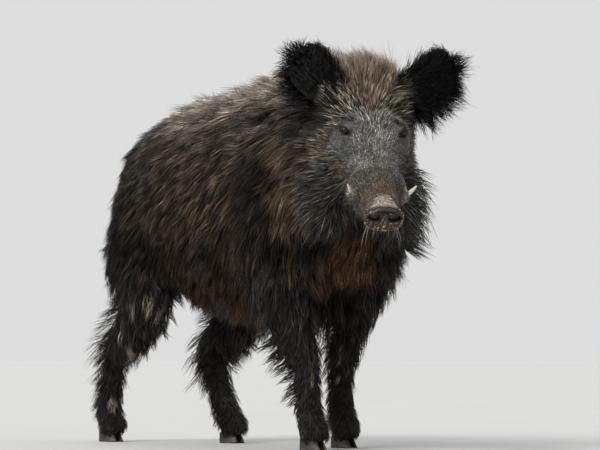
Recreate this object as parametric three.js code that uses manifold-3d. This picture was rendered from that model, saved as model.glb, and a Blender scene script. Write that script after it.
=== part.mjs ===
// Wild boar, adult male, standing still with its head lowered and turned to its right.
// Millimetres, +Z up. It faces -Y, and its left side is +X. Each solid reaches the tips of the coat.
import * as THREE from 'three';
import { mergeVertices } from 'three/addons/utils/BufferGeometryUtils.js';
import Module from 'manifold-3d';

const wasm = await Module();
wasm.setup();

// ---------------------------------------------------------------- driving dimensions
const GAP = 0.3; // clearance between neighbouring solids
const CELL = { trunk: 32, neck: 26, head: 17, leg: 19 }; // size of the facets of each region
const FAIR = { trunk: 5, neck: 4.4, head: 3.5, leg: 4.4, cut: 0.1 }; // how far a facet may lie from the true form

// Stations of the body: x, distance forward, z, half width, height above, depth below, roundness.
const TRUNK = [
  [0, -405, 594, 92, 158, 160, 2.1],
  [0, -320, 590, 124, 188, 190, 2.15],
  [0, -190, 584, 158, 222, 228, 2.15],
  [0, -30, 582, 173, 240, 262, 2.15],
  [0, 120, 586, 182, 254, 276, 2.15],
  [-3, 250, 596, 184, 261, 262, 2.1],
  [-12, 350, 616, 174, 246, 240, 2.25],
  [-24, 430, 644, 152, 222, 216, 2.5],
  [-42, 500, 676, 126, 186, 184, 2.5],
  [-62, 560, 704, 98, 146, 148, 2.4],
];
const RUMP_ROUND = 118; // how far the round ends reach past the first and the last station
const NECK_ROUND = 60;
// Stations of each leg, from the top down: x, forward, z, half width, depth in front, depth behind, roundness.
const LEG_FRONT_RIGHT = [
  [-122, 310, 520, 66, 92, 104, 2.2],
  [-120, 314, 420, 60, 76, 92, 2.2],
  [-108, 326, 330, 46, 50, 60, 2.1],
  [-97, 348, 258, 33, 35, 38, 2.0],
  [-92, 362, 218, 32, 34, 33, 2.1],
  [-88, 370, 184, 27, 28, 28, 2.0],
  [-87, 376, 132, 23, 24, 25, 2.0],
  [-86, 380, 92, 26, 26, 31, 2.0],
  [-86, 392, 64, 27, 25, 27, 2.0],
  [-86, 402, 42, 30, 28, 27, 2.2],
];
const LEG_FRONT_LEFT = [
  [122, 300, 520, 66, 92, 104, 2.2],
  [120, 296, 420, 60, 76, 92, 2.2],
  [108, 284, 330, 46, 50, 60, 2.1],
  [94, 264, 258, 33, 35, 38, 2.0],
  [89, 257, 218, 32, 34, 33, 2.1],
  [86, 252, 184, 27, 28, 28, 2.0],
  [85, 250, 132, 23, 24, 25, 2.0],
  [85, 250, 92, 26, 26, 31, 2.0],
  [85, 260, 64, 27, 25, 27, 2.0],
  [85, 270, 42, 30, 28, 27, 2.2],
];
const LEG_HIND_RIGHT = [
  [-72, -362, 570, 54, 120, 96, 2.2],
  [-88, -344, 480, 62, 128, 108, 2.2],
  [-103, -326, 385, 58, 98, 98, 2.2],
  [-102, -350, 318, 45, 76, 70, 2.1],
  [-98, -414, 262, 31, 52, 48, 2.0],
  [-96, -460, 230, 27, 40, 40, 2.0],
  [-94, -486, 186, 23, 27, 30, 2.0],
  [-92, -502, 130, 22, 24, 26, 2.0],
  [-91, -514, 90, 26, 26, 31, 2.0],
  [-90, -508, 62, 27, 25, 27, 2.0],
  [-90, -498, 42, 30, 28, 27, 2.2],
];
const LEG_HIND_LEFT = [
  [72, -354, 570, 54, 120, 98, 2.2],
  [96, -312, 480, 64, 130, 116, 2.2],
  [109, -238, 385, 62, 98, 110, 2.2],
  [107, -231, 318, 52, 74, 82, 2.1],
  [102, -288, 262, 39, 56, 56, 2.0],
  [97, -328, 232, 31, 48, 46, 2.0],
  [93, -318, 186, 27, 34, 34, 2.0],
  [89, -288, 130, 23, 26, 27, 2.0],
  [88, -262, 90, 27, 27, 31, 2.0],
  [88, -240, 64, 27, 25, 28, 2.0],
  [88, -222, 42, 30, 28, 27, 2.2],
];
// Centre line of the tail: x, forward, z, radius with its hair.
const TAIL = [
  [0, -470, 700, 24],
  [1, -516, 682, 23],
  [2, -542, 640, 21],
  [6, -556, 570, 17],
  [12, -558, 480, 16],
  [16, -552, 410, 19],
  [18, -546, 372, 9],
];
const TAIL_SIDES = 8;

// The head has its own frame: v to its left, s back from the middle of the snout disc, u up.
const SNOUT_AT = [-213, 860, 502]; // x, forward, z of the middle of the disc
const HEAD_YAW = 26, HEAD_PITCH = 31, HEAD_ROLL = 2.5; // turned right, nose down, tilted
// Stations of the head: v, s, u, half width, height above, depth below, roundness.
const HEAD = [
  [0, 8, 0, 39, 31, 30, 2.2],
  [0, 40, 0, 34, 37, 40, 2.2],
  [0, 85, 0, 40, 46, 56, 2.2],
  [0, 125, 0, 48, 53, 68, 2.2],
  [0, 175, 0, 50, 62, 82, 2.2],
  [0, 225, 0, 60, 72, 96, 2.2],
  [0, 270, 0, 75, 82, 108, 2.2],
  [0, 320, 0, 80, 94, 118, 2.2],
  [0, 370, 0, 82, 106, 112, 2.2],
  [0, 415, 0, 78, 110, 96, 2.1],
  [0, 455, 0, 68, 96, 80, 2.0],
];
// Round forms of the head, on both sides: v, s, u, their three radii, and how softly they blend.
const HEAD_FORMS = [
  [50, 266, 60, 23, 34, 25, 26], // brow
  [64, 312, 6, 24, 62, 40, 40], // cheek bone
  [78, 302, -120, 46, 72, 76, 50], // jowl
  [44, 122, 2, 17, 30, 30, 22], // root of the canine
  [40, 380, 74, 34, 40, 34, 40], // root of the ear
];
const EAR = { length: { left: 158, right: 136 }, half: { left: 61, right: 55 }, cup: 28, thick: 7, fringe: 18, hair: 7, base: [66, 384, 86], open: [0.4, -0.9, 0.1] };
const EAR_LEFT_TO = [0.8, 0.34, 0.48]; // which way each ear points, in the head's frame
const EAR_RIGHT_TO = [0.66, 0.42, 0.6];
const EYE = { radius: 13.5, at: [60, 250, 74] };
const DISC = { half: 43, high: 30, thick: 11, lean: 8, nostril: 7.5, apart: 20, up: 6, deep: 9 };
const TUSK = { radius: 6, left: [[52, 122, -26], [61, 115, -13], [68, 110, 0], [76, 106, 15], [83, 105, 30]], right: [[-44, 122, -26], [-50, 115, -14], [-55, 110, -3], [-62, 106, 10], [-69, 105, 23]] };
const MOUTH_U = -26, SNOUT_S = 168, JAW_S = 216; // where snout and lower jaw end
const HEAD_BACK = { s: 380, u: -15, slope: 20.3 }; // plane between head and neck
const NECK_BASE = { forward: 400, z: 645, slope: 18 }; // plane between neck and trunk

// Claws: two on each foot, and two dewclaws behind it.
const CLAW = { length: 64, width: 27, front: 38, heel: 23, wall: 54, cleft: 1.6, splay: 4 };
const DEWCLAW = { length: 34, radius: 10.5, apart: 15, above: 62 };
const CLAW_RINGS = 2, CLAW_STEPS = 6;
const FEET = {
  front_right: { stations: LEG_FRONT_RIGHT, x: -86, heel: 372, side: -1 },
  front_left: { stations: LEG_FRONT_LEFT, x: 85, heel: 240, side: 1 },
  hind_right: { stations: LEG_HIND_RIGHT, x: -90, heel: -528, side: -1 },
  hind_left: { stations: LEG_HIND_LEFT, x: 88, heel: -252, side: 1 },
};

// ---------------------------------------------------------------- small tools
const V = (x, y, z) => new THREE.Vector3(x, y, z);
const rad = THREE.MathUtils.degToRad;
const clamp = THREE.MathUtils.clamp;
const ramp = (x, xs, ys) => {
  if (x <= xs[0]) return ys[0];
  for (let i = 1; i < xs.length; i++)
    if (x <= xs[i]) return ys[i - 1] + ((ys[i] - ys[i - 1]) * (x - xs[i - 1])) / (xs[i] - xs[i - 1]);
  return ys[ys.length - 1];
};
const turn = (rows) => rows.map(([x, f, ...rest]) => [x, -f, ...rest]);

// Smooth stations between the given ones.
function between(rows, n) {
  const first = rows[0], last = rows[rows.length - 1];
  const ext = [first.map((v, i) => 2 * v - rows[1][i]), ...rows, last.map((v, i) => 2 * v - rows[rows.length - 2][i])];
  const out = [];
  for (let i = 0; i < rows.length - 1; i++) {
    const [a, b, c, d] = ext.slice(i, i + 4);
    for (let k = 0; k < n; k++) {
      const t = k / n;
      out.push(b.map((_, j) => 0.5 * (2 * b[j] + (c[j] - a[j]) * t + (2 * a[j] - 5 * b[j] + 4 * c[j] - d[j]) * t * t + (3 * b[j] - a[j] - 3 * c[j] + d[j]) * t ** 3)));
    }
  }
  out.push([...last]);
  return out;
}

// Distance to a body of rounded sections along a bent line.
function limb(rows, up, n = 4) {
  const r = between(rows, n);
  const c = r.map((s) => V(s[0], s[1], s[2]));
  const side = [], top = [];
  for (let i = 0; i < c.length; i++) {
    const t = c[Math.min(i + 1, c.length - 1)].clone().sub(c[Math.max(i - 1, 0)]).normalize();
    const sd = t.clone().cross(up).normalize();
    side.push(sd);
    top.push(sd.clone().cross(t));
  }
  const q = V(0, 0, 0), ab = V(0, 0, 0);
  return (p) => {
    let best = Infinity, seg = 0, at = 0;
    for (let i = 0; i < c.length - 1; i++) {
      ab.subVectors(c[i + 1], c[i]);
      q.subVectors(p, c[i]);
      const t = clamp(q.dot(ab) / ab.lengthSq(), 0, 1);
      const d = q.addScaledVector(ab, -t).lengthSq();
      if (d < best) [best, seg, at] = [d, i, t];
    }
    const mix = (k) => r[seg][k] * (1 - at) + r[seg + 1][k] * at;
    const v = q.copy(p).sub(ab.lerpVectors(c[seg], c[seg + 1], at));
    const x = v.dot(ab.lerpVectors(side[seg], side[seg + 1], at));
    const z = v.dot(ab.lerpVectors(top[seg], top[seg + 1], at));
    const y = Math.sqrt(Math.max(v.lengthSq() - x * x - z * z, 0));
    const w = mix(3), hi = mix(4), lo = mix(5), e = mix(6), cap = Math.min(w, hi, lo);
    const g = (Math.abs(x) / w) ** e + (Math.abs(z) / (z > 0 ? hi : lo)) ** e + (y / cap) ** e;
    const length = v.length();
    return length < 1e-6 ? -cap : length - length / Math.max(g, 1e-9) ** (1 / e);
  };
}

// Distance to the trunk: upright rounded sections across Y, with round ends.
function barrel(rows, rear, front) {
  const r = between(rows, 6).sort((a, b) => a[1] - b[1]);
  const ys = r.map((s) => s[1]);
  const col = [0, 1, 2, 3, 4, 5, 6].map((k) => r.map((s) => s[k]));
  return (p) => {
    const y = clamp(p.y, ys[0], ys[ys.length - 1]);
    const [x0, , z0, w, hi, lo, e] = col.map((c) => ramp(y, ys, c));
    const dx = p.x - x0, dz = p.z - z0, dy = p.y - y;
    const g = (Math.abs(dx) / w) ** e + (Math.abs(dz) / (dz > 0 ? hi : lo)) ** e + (Math.abs(dy) / (dy > 0 ? rear : front)) ** e;
    const length = Math.hypot(dx, dy, dz);
    return length < 1e-6 ? -w : length - length / Math.max(g, 1e-9) ** (1 / e);
  };
}

const ball = (q, v, s, u, a, b, c) => {
  const x = q.x - v, y = q.y - s, z = q.z - u;
  const k0 = Math.hypot(x / a, y / b, z / c), k1 = Math.hypot(x / (a * a), y / (b * b), z / (c * c));
  return k1 > 1e-12 ? (k0 * (k0 - 1)) / k1 : -Math.min(a, b, c);
};
const blend = (a, b, k) => Math.min(a, b) - (Math.max(k - Math.abs(a - b), 0) / k) ** 2 * k * 0.25;

// ---------------------------------------------------------------- the head's frame
const nose = V(SNOUT_AT[0], -SNOUT_AT[1], SNOUT_AT[2]);
const facing = V(-Math.sin(rad(HEAD_YAW)), -Math.cos(rad(HEAD_YAW)), 0);
const across = V(Math.cos(rad(HEAD_YAW)), -Math.sin(rad(HEAD_YAW)), 0);
const skyward = facing.clone().multiplyScalar(Math.sin(rad(HEAD_PITCH))).add(V(0, 0, Math.cos(rad(HEAD_PITCH))));
const backward = facing.clone().multiplyScalar(-Math.cos(rad(HEAD_PITCH))).add(V(0, 0, Math.sin(rad(HEAD_PITCH))));
const axisV = across.clone().multiplyScalar(Math.cos(rad(HEAD_ROLL))).addScaledVector(skyward, -Math.sin(rad(HEAD_ROLL)));
const axisU = skyward.clone().multiplyScalar(Math.cos(rad(HEAD_ROLL))).addScaledVector(across, Math.sin(rad(HEAD_ROLL)));
const axisS = backward;
const headFrame = new THREE.Matrix4().makeBasis(axisV, axisS, axisU).setPosition(nose);
const headInverse = headFrame.clone().invert();
const inHead = (v, s, u) => V(v, s, u).applyMatrix4(headFrame);

// ---------------------------------------------------------------- the flesh and the coat on it
const trunkForm = barrel(turn(TRUNK), RUMP_ROUND, NECK_ROUND);
const headForm = limb(HEAD, V(0, 0, 1));
const legForms = Object.values(FEET).map((foot) => limb(turn(foot.stations), V(0, -1, 0)));

function headDistance(q) {
  let d = headForm(q);
  for (const [v, s, u, a, b, c, k] of HEAD_FORMS)
    for (const side of [1, -1]) d = blend(d, ball(q, v * side, s, u, a, b, c), k);
  return d;
}

// Outline of the coat: the flesh of all parts run together, grown by the coat's depth there.
function outline(p) {
  const q = p.clone().applyMatrix4(headInverse);
  const trunk = trunkForm(p), head = headDistance(q), legs = legForms.map((f) => f(p));
  let d = trunk;
  for (const leg of legs) d = blend(d, leg, 50);
  d = blend(d, head, 60);
  const mane = clamp((p.z - 700) / 90, 0, 1) * clamp((440 - p.y) / 500, 0.25, 1);
  const belly = clamp((430 - p.z) / 100, 0, 1);
  const ruff = Math.exp(-(((p.y + 400) / 130) ** 2) - ((p.z - 440) / 110) ** 2);
  const onTrunk = 24 + 20 * mane + 10 * belly + 30 * ruff;
  const onHead = ramp(q.y, [0, 120, 220, 290, 330, 380, 440], [2.5, 4, 5, 6, 14, 30, 44])
    + clamp((-q.z - 20) / 60, 0, 1) * ramp(q.y, [60, 200, 260, 360], [2, 10, 32, 32])
    - 14 * clamp((Math.abs(q.x) - 60) / 30, 0, 1) * clamp((q.z + 50) / 50, 0, 1) * ramp(q.y, [280, 330, 400, 440], [0, 1, 1, 0]);
  const onLeg = ramp(p.z, [30, 90, 200, 280, 450], [4, 10, 20, 31, 30]);
  let total = 0, depth = 0;
  for (const [far, deep] of [[trunk, onTrunk], [head, onHead], ...legs.map((l) => [l, onLeg])]) {
    const w = Math.exp(-clamp(far, -60, 200) / 22);
    total += w;
    depth += w * deep;
  }
  return d - depth / total;
}

// ---------------------------------------------------------------- facets around a form
// A closed faceted body around the points where the form is below zero, inside the box lo..hi.
function facets(form, lo, hi, cell) {
  const n = [0, 1, 2].map((i) => Math.ceil((hi[i] - lo[i]) / cell) + 1);
  const id = (i, j, k) => (i * n[1] + j) * n[2] + k;
  const value = new Float64Array(n[0] * n[1] * n[2]);
  const p = V(0, 0, 0);
  for (let i = 0; i < n[0]; i++)
    for (let j = 0; j < n[1]; j++)
      for (let k = 0; k < n[2]; k++) {
        const edge = i === 0 || j === 0 || k === 0 || i === n[0] - 1 || j === n[1] - 1 || k === n[2] - 1;
        value[id(i, j, k)] = edge ? cell / 2 : form(p.set(lo[0] + cell * i, lo[1] + cell * j, lo[2] + cell * k));
      }
  const corner = [], rim = [];
  for (let a = 0; a < 8; a++) corner.push([a >> 2, (a >> 1) & 1, a & 1]);
  for (let a = 0; a < 8; a++) for (const bit of [4, 2, 1]) if (!(a & bit)) rim.push([a, a | bit]);
  const points = [], where = new Map();
  for (let i = 0; i < n[0] - 1; i++)
    for (let j = 0; j < n[1] - 1; j++)
      for (let k = 0; k < n[2] - 1; k++) {
        const v = corner.map(([a, b, c]) => value[id(i + a, j + b, k + c)]);
        const inside = v.filter((x) => x < 0).length;
        if (inside === 0 || inside === 8) continue;
        const sum = [0, 0, 0];
        let count = 0;
        for (const [a, b] of rim) {
          if (v[a] < 0 === v[b] < 0) continue;
          const t = v[a] / (v[a] - v[b]);
          for (let c = 0; c < 3; c++) sum[c] += corner[a][c] + t * (corner[b][c] - corner[a][c]);
          count++;
        }
        where.set(id(i, j, k), points.length / 3);
        points.push(...sum.map((s, c) => lo[c] + cell * ([i, j, k][c] + s / count)));
      }
  const index = [];
  const far = (a, b) => Math.hypot(points[3 * a] - points[3 * b], points[3 * a + 1] - points[3 * b + 1], points[3 * a + 2] - points[3 * b + 2]);
  for (let axis = 0; axis < 3; axis++) {
    const [u, v] = [(axis + 1) % 3, (axis + 2) % 3];
    const from = [1, 1, 1];
    from[axis] = 0;
    for (let i = from[0]; i < n[0] - 1; i++)
      for (let j = from[1]; j < n[1] - 1; j++)
        for (let k = from[2]; k < n[2] - 1; k++) {
          const next = [i, j, k];
          next[axis]++;
          const a = value[id(i, j, k)] < 0, b = value[id(...next)] < 0;
          if (a === b) continue;
          const cellAt = (du, dv) => {
            const c = [i, j, k];
            c[u] -= du;
            c[v] -= dv;
            return where.get(id(...c));
          };
          let quad = [cellAt(1, 1), cellAt(0, 1), cellAt(0, 0), cellAt(1, 0)];
          if (!a) quad = quad.reverse();
          const [q0, q1, q2, q3] = quad;
          if (far(q0, q2) <= far(q1, q3)) index.push(q0, q1, q2, q0, q2, q3);
          else index.push(q0, q1, q3, q1, q2, q3);
        }
  }
  return new THREE.BufferGeometry().setAttribute('position', new THREE.Float32BufferAttribute(points, 3)).setIndex(index);
}

// Joins rings of points into a closed body; each end is a fan.
function rings(list) {
  const n = list[0].length, points = [], index = [];
  for (const ring of list) for (const p of ring) points.push(p.x, p.y, p.z);
  for (let i = 0; i + 1 < list.length; i++)
    for (let j = 0; j < n; j++) {
      const a = i * n + j, b = i * n + ((j + 1) % n);
      index.push(a, b, b + n, a, b + n, a + n);
    }
  const cap = (start, turned) => {
    const m = V(0, 0, 0);
    for (let j = 0; j < n; j++) m.add(V(points[3 * (start + j)], points[3 * (start + j) + 1], points[3 * (start + j) + 2]));
    m.divideScalar(n);
    const c = points.length / 3;
    points.push(m.x, m.y, m.z);
    for (let j = 0; j < n; j++) {
      const a = start + j, b = start + ((j + 1) % n);
      if (turned) index.push(c, a, b);
      else index.push(c, b, a);
    }
  };
  cap(0, false);
  cap((list.length - 1) * n, true);
  return new THREE.BufferGeometry().setAttribute('position', new THREE.Float32BufferAttribute(points, 3)).setIndex(index);
}

// A round bar of changing radius along a curve.
function bar(path, radii, steps, sides) {
  const curve = new THREE.CatmullRomCurve3(path);
  const frames = curve.computeFrenetFrames(steps, false);
  const list = [];
  for (let i = 0; i <= steps; i++) {
    const t = i / steps, c = curve.getPoint(t);
    const r = ramp(t * (radii.length - 1), radii.map((_, k) => k), radii);
    // the frames follow equal lengths, so each ring is set square to the curve's own tangent here
    const tangent = curve.getTangent(t);
    const a = frames.normals[i].clone().addScaledVector(tangent, -frames.normals[i].dot(tangent)).normalize();
    const b = tangent.clone().cross(a);
    list.push(Array.from({ length: sides }, (_, j) => {
      const w = (2 * Math.PI * j) / sides;
      return c.clone().addScaledVector(a, r * Math.cos(w)).addScaledVector(b, r * Math.sin(w));
    }));
  }
  return rings(list);
}

// ---------------------------------------------------------------- solids
function solid(geometry) {
  const bare = new THREE.BufferGeometry().setAttribute('position', geometry.getAttribute('position').clone());
  if (geometry.index) bare.setIndex(geometry.index.clone());
  const merged = mergeVertices(bare, 1e-3);
  const made = new wasm.Manifold(new wasm.Mesh({
    numProp: 3,
    vertProperties: new Float32Array(merged.attributes.position.array),
    triVerts: new Uint32Array(merged.index.array),
  }));
  if (made.volume() > 0) return made;
  const flipped = new Uint32Array(merged.index.array);
  for (let i = 0; i < flipped.length; i += 3) [flipped[i + 1], flipped[i + 2]] = [flipped[i + 2], flipped[i + 1]];
  return new wasm.Manifold(new wasm.Mesh({ numProp: 3, vertProperties: new Float32Array(merged.attributes.position.array), triVerts: flipped }));
}
// The largest body of a cut solid, without the slivers that cutting leaves.
const largest = (m) => m.simplify(FAIR.cut).decompose().sort((a, b) => b.volume() - a.volume())[0];
const SPAN = 4000;
// Everything on the side that normal points to, from the plane through point, moved back by grow.
function beyond(point, normal, grow = 0) {
  const n = normal.clone().normalize();
  const g = new THREE.BoxGeometry(SPAN, SPAN, SPAN).toNonIndexed();
  g.applyQuaternion(new THREE.Quaternion().setFromUnitVectors(V(0, 0, 1), n));
  const c = point.clone().addScaledVector(n, SPAN / 2 - grow);
  return solid(g.translate(c.x, c.y, c.z));
}
// A box given by its corners in the head's frame.
function headBox(lo, hi, grow = 0) {
  const g = new THREE.BoxGeometry(hi[0] - lo[0] + 2 * grow, hi[1] - lo[1] + 2 * grow, hi[2] - lo[2] + 2 * grow).toNonIndexed();
  g.translate((lo[0] + hi[0]) / 2, (lo[1] + hi[1]) / 2, (lo[2] + hi[2]) / 2);
  return solid(g.applyMatrix4(headFrame));
}
function boxAt(lo, hi) {
  const g = new THREE.BoxGeometry(hi[0] - lo[0], hi[1] - lo[1], hi[2] - lo[2]).toNonIndexed();
  return solid(g.translate((lo[0] + hi[0]) / 2, (lo[1] + hi[1]) / 2, (lo[2] + hi[2]) / 2));
}

const boar = new THREE.Group();
boar.name = 'wild_boar';
const paint = {
  coat: { color: 0x3b342d, roughness: 0.9, metalness: 0 },
  dark: { color: 0x1f1b18, roughness: 0.9, metalness: 0 },
  face: { color: 0x5f574e, roughness: 0.85, metalness: 0 },
  snout: { color: 0x6d6259, roughness: 0.8, metalness: 0 },
  disc: { color: 0x2e2724, roughness: 0.6, metalness: 0 },
  horn: { color: 0x211c19, roughness: 0.55, metalness: 0 },
  ivory: { color: 0xd8cbb0, roughness: 0.35, metalness: 0 },
  eye: { color: 0x1a110c, roughness: 0.08, metalness: 0 },
};
// Adds a solid as a mesh whose own origin is the middle of its box.
function add(name, made, look, into = boar) {
  const m = made.getMesh();
  const points = new Float32Array(m.numVert * 3);
  for (let i = 0; i < m.numVert; i++) for (let c = 0; c < 3; c++) points[3 * i + c] = m.vertProperties[i * m.numProp + c];
  const g = new THREE.BufferGeometry().setAttribute('position', new THREE.BufferAttribute(points, 3)).setIndex(new THREE.BufferAttribute(new Uint32Array(m.triVerts), 1));
  g.computeBoundingBox();
  const c = g.boundingBox.getCenter(V(0, 0, 0));
  g.translate(-c.x, -c.y, -c.z);
  g.computeVertexNormals();
  const mesh = new THREE.Mesh(g, new THREE.MeshStandardMaterial(paint[look]));
  mesh.name = name;
  mesh.position.copy(c);
  into.add(mesh);
}

// ---------------------------------------------------------------- feet
// One claw: its flat sole on z = 0, its heel at y = 0, its toe towards -y, its outer wall towards +x.
function claw(grow = 0) {
  const { length, width, front, heel, wall } = CLAW;
  const list = [];
  for (let k = 0; k <= CLAW_RINGS; k++) {
    const up = k / CLAW_RINGS;
    const back = (front * up) / Math.tan(rad(wall)); // the front wall leans back
    const long = length - back, wide = width * (1 - 0.1 * up);
    const ring = [];
    const height = (s) => (k === 0 ? -grow : (front + (heel - front) * s) * up + (k === CLAW_RINGS ? grow : 0));
    for (let j = 0; j <= CLAW_STEPS; j++) {
      const s = j / CLAW_STEPS; // from toe to heel along the outer wall
      const round = s > 0.75 ? Math.sqrt(Math.max(1 - ((s - 0.75) / 0.3) ** 2, 0)) : 1;
      ring.push(V((3 + (wide - 3) * (1 - (1 - s) ** 2) ** 0.8) * round + grow, -long * (1 - s), height(s)));
    }
    for (let j = CLAW_STEPS; j >= 0; j--) {
      const s = j / CLAW_STEPS;
      ring.push(V(0.2 + 1.6 * (1 - s) ** 3 - grow, -long * (1 - s), height(s)));
    }
    list.push(ring);
  }
  return rings(list);
}
// A dewclaw: a blunt cone that hangs from its root.
function dewclaw(grow = 0) {
  const r = DEWCLAW.radius + grow, l = DEWCLAW.length;
  const profile = [[0, grow], [0.62 * r, -0.04 * l + grow], [r, -0.25 * l], [0.9 * r, -0.5 * l], [0.62 * r, -0.8 * l], [0.25 * r, -l - grow * 0.6], [0, -l - grow]];
  return new THREE.LatheGeometry(profile.map(([x, y]) => new THREE.Vector2(x, y)), 9).rotateX(Math.PI / 2);
}

const domains = {
  front_right: { lo: [-215, -480, 12], hi: [-28, -200, 420], cut: (m) => m.intersect(beyond(V(0, 0, 300), V(0, 0, -1))).intersect(beyond(V(-34, 0, 0), V(-1, 0, 0))) },
  front_left: { lo: [28, -440, 12], hi: [215, -130, 420], cut: (m) => m.intersect(beyond(V(0, 0, 300), V(0, 0, -1))).intersect(beyond(V(34, 0, 0), V(1, 0, 0))) },
  hind_right: { lo: [-210, 150, 12], hi: [2, 640, 520], cut: (m) => m },
  hind_left: { lo: [-2, 60, 12], hi: [210, 640, 520], cut: (m) => m },
};
// The part of space that each leg's solid keeps, grown by GAP where the trunk is cut.
function legRegion(name, grow = 0) {
  if (name === 'front_right') return boxAt([-260, -520, -20], [-34 + grow, -225 + grow, 300 + grow]);
  if (name === 'front_left') return boxAt([34 - grow, -480, -20], [260, -190 + grow, 300 + grow]);
  // the thigh is cut along a plane that climbs to the rear from the fold of the flank
  const right = name === 'hind_right';
  const fold = right ? V(0, 195, 322) : V(0, 105, 318);
  const slope = right ? 25 : 21;
  const region = beyond(fold, V(0, Math.sin(rad(slope)), -Math.cos(rad(slope))), grow);
  const box = right ? boxAt([-260, 190 - grow, -20], [-10 + grow, 700, 560]) : boxAt([10 - grow, 100 - grow, -20], [260, 700, 560]);
  return region.intersect(box);
}

const footGroups = [];
for (const [name, foot] of Object.entries(FEET)) {
  const heelY = -foot.heel;
  // claws and dewclaws, in a group that stands at the heel
  const group = new THREE.Group();
  group.position.set(foot.x, heelY, 0);
  group.updateMatrix();
  const cuts = [];
  for (const [word, hand] of [['outer', foot.side], ['inner', -foot.side]]) {
    const mirror = (g) => (hand > 0 ? g : g.scale(-1, 1, 1));
    const place = (g) => g.applyMatrix4(new THREE.Matrix4().makeRotationZ(rad(CLAW.splay * hand)).setPosition(CLAW.cleft * hand + foot.x, heelY, 0));
    add('hoof_' + name + '_' + word, solid(place(mirror(claw()))), 'horn');
    const lean = new THREE.Matrix4().makeRotationX(rad(-34)).premultiply(new THREE.Matrix4().makeRotationY(rad(-14 * hand)))
      .setPosition(foot.x + DEWCLAW.apart * hand, heelY + 4, DEWCLAW.above);
    add('dewclaw_' + name + '_' + word, solid(dewclaw().applyMatrix4(lean)), 'horn');
    cuts.push(solid(dewclaw(GAP + 0.15).applyMatrix4(lean)));
  }
  // the leg ends on a slanting plane just above the claws, whose tops are turned a little by their splay
  const tilt = Math.atan2(CLAW.front - CLAW.heel, CLAW.length - CLAW.front / Math.tan(rad(CLAW.wall)));
  const sole = beyond(V(foot.x, heelY, CLAW.heel + GAP + CLAW.width * Math.sin(rad(CLAW.splay)) * Math.tan(tilt)), V(0, Math.sin(tilt), Math.cos(tilt)));
  const { lo, hi } = domains[name];
  let leg = solid(facets(outline, lo, hi, CELL.leg)).simplify(FAIR.leg);
  leg = leg.intersect(legRegion(name)).intersect(sole);
  for (const cut of cuts) leg = leg.subtract(cut);
  add('leg_' + name, largest(leg), 'dark');
}

// ---------------------------------------------------------------- ears, eyes, tusks and snout disc
function ear(side, to, grow = 0) {
  const word = side > 0 ? 'left' : 'right';
  const length = EAR.length[word] + EAR.fringe, full = EAR.half[word] + 0.8 * EAR.fringe;
  const base = V(EAR.base[0] * side, EAR.base[1], EAR.base[2]);
  const along = V(to[0] * side, to[1], to[2]).normalize();
  const open = V(EAR.open[0] * side, EAR.open[1], EAR.open[2]);
  open.addScaledVector(along, -open.dot(along)).normalize();
  const wide = open.clone().cross(along);
  const list = [];
  for (const x of [-0.16, 0, 0.16, 0.34, 0.52, 0.7, 0.84, 0.94, 0.995]) {
    const t = clamp(x, 0, 1);
    let half = Math.min(full * (0.66 + 1.0 * t) * Math.sqrt(Math.max(1 - t ** 2.3, 0)) * 0.86 + 2, full);
    if (x < 0) half *= 0.6;
    half += grow;
    const ring = [];
    const thick = (EAR.thick * (1 - 0.35 * t) + 10 * Math.max(0.25 - t, 0)) / 2 + EAR.hair * (x > 0.9 ? 0.6 : 1) + grow;
    const steps = 5;
    for (const face of [1, -1])
      for (let j = 0; j <= steps; j++) {
        const w = (face > 0 ? 1 : -1) * (-1 + (2 * j) / steps) * half;
        const rim = Math.sqrt(Math.max(1 - (w / (half * 1.04)) ** 4, 0));
        const n = EAR.cup * (1 - 0.55 * t) * (w / (EAR.half[word] + 8)) ** 2 + 10 * (t - 0.4) ** 2 - 6 + face * thick * rim;
        ring.push(base.clone().addScaledVector(along, x * length + (x > 0.99 || x < 0 ? grow * Math.sign(x) : 0)).addScaledVector(wide, w).addScaledVector(open, n));
      }
    list.push(ring);
  }
  return solid(rings(list).applyMatrix4(headFrame));
}
const eyeball = (side, grow = 0) => {
  const c = inHead(EYE.at[0] * side, EYE.at[1], EYE.at[2]);
  return solid(new THREE.SphereGeometry(EYE.radius + grow, 12, 8).toNonIndexed().translate(c.x, c.y, c.z));
};
const tusk = (side, grow = 0) => solid(bar(
  (side > 0 ? TUSK.left : TUSK.right).map(([v, s, u]) => inHead(v, s, u)),
  [0.9, 1, 0.9, 0.7, 0.3].map((k) => TUSK.radius * k + grow), 6, 8,
));
const disc = (grow = 0) => {
  const g = new THREE.SphereGeometry(1, 16, 8);
  const p = g.attributes.position;
  for (let i = 0; i < p.count; i++) {
    const v = V(p.getX(i), p.getY(i), p.getZ(i));
    v.y = Math.sign(v.y) * Math.abs(v.y) ** 0.55; // flat in front and behind, round at the rim
    p.setXYZ(i, v.x * (DISC.half + grow), v.y * (DISC.thick + grow), v.z * (DISC.high + grow));
  }
  return solid(g.rotateX(rad(DISC.lean)).applyMatrix4(headFrame));
};

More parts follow.
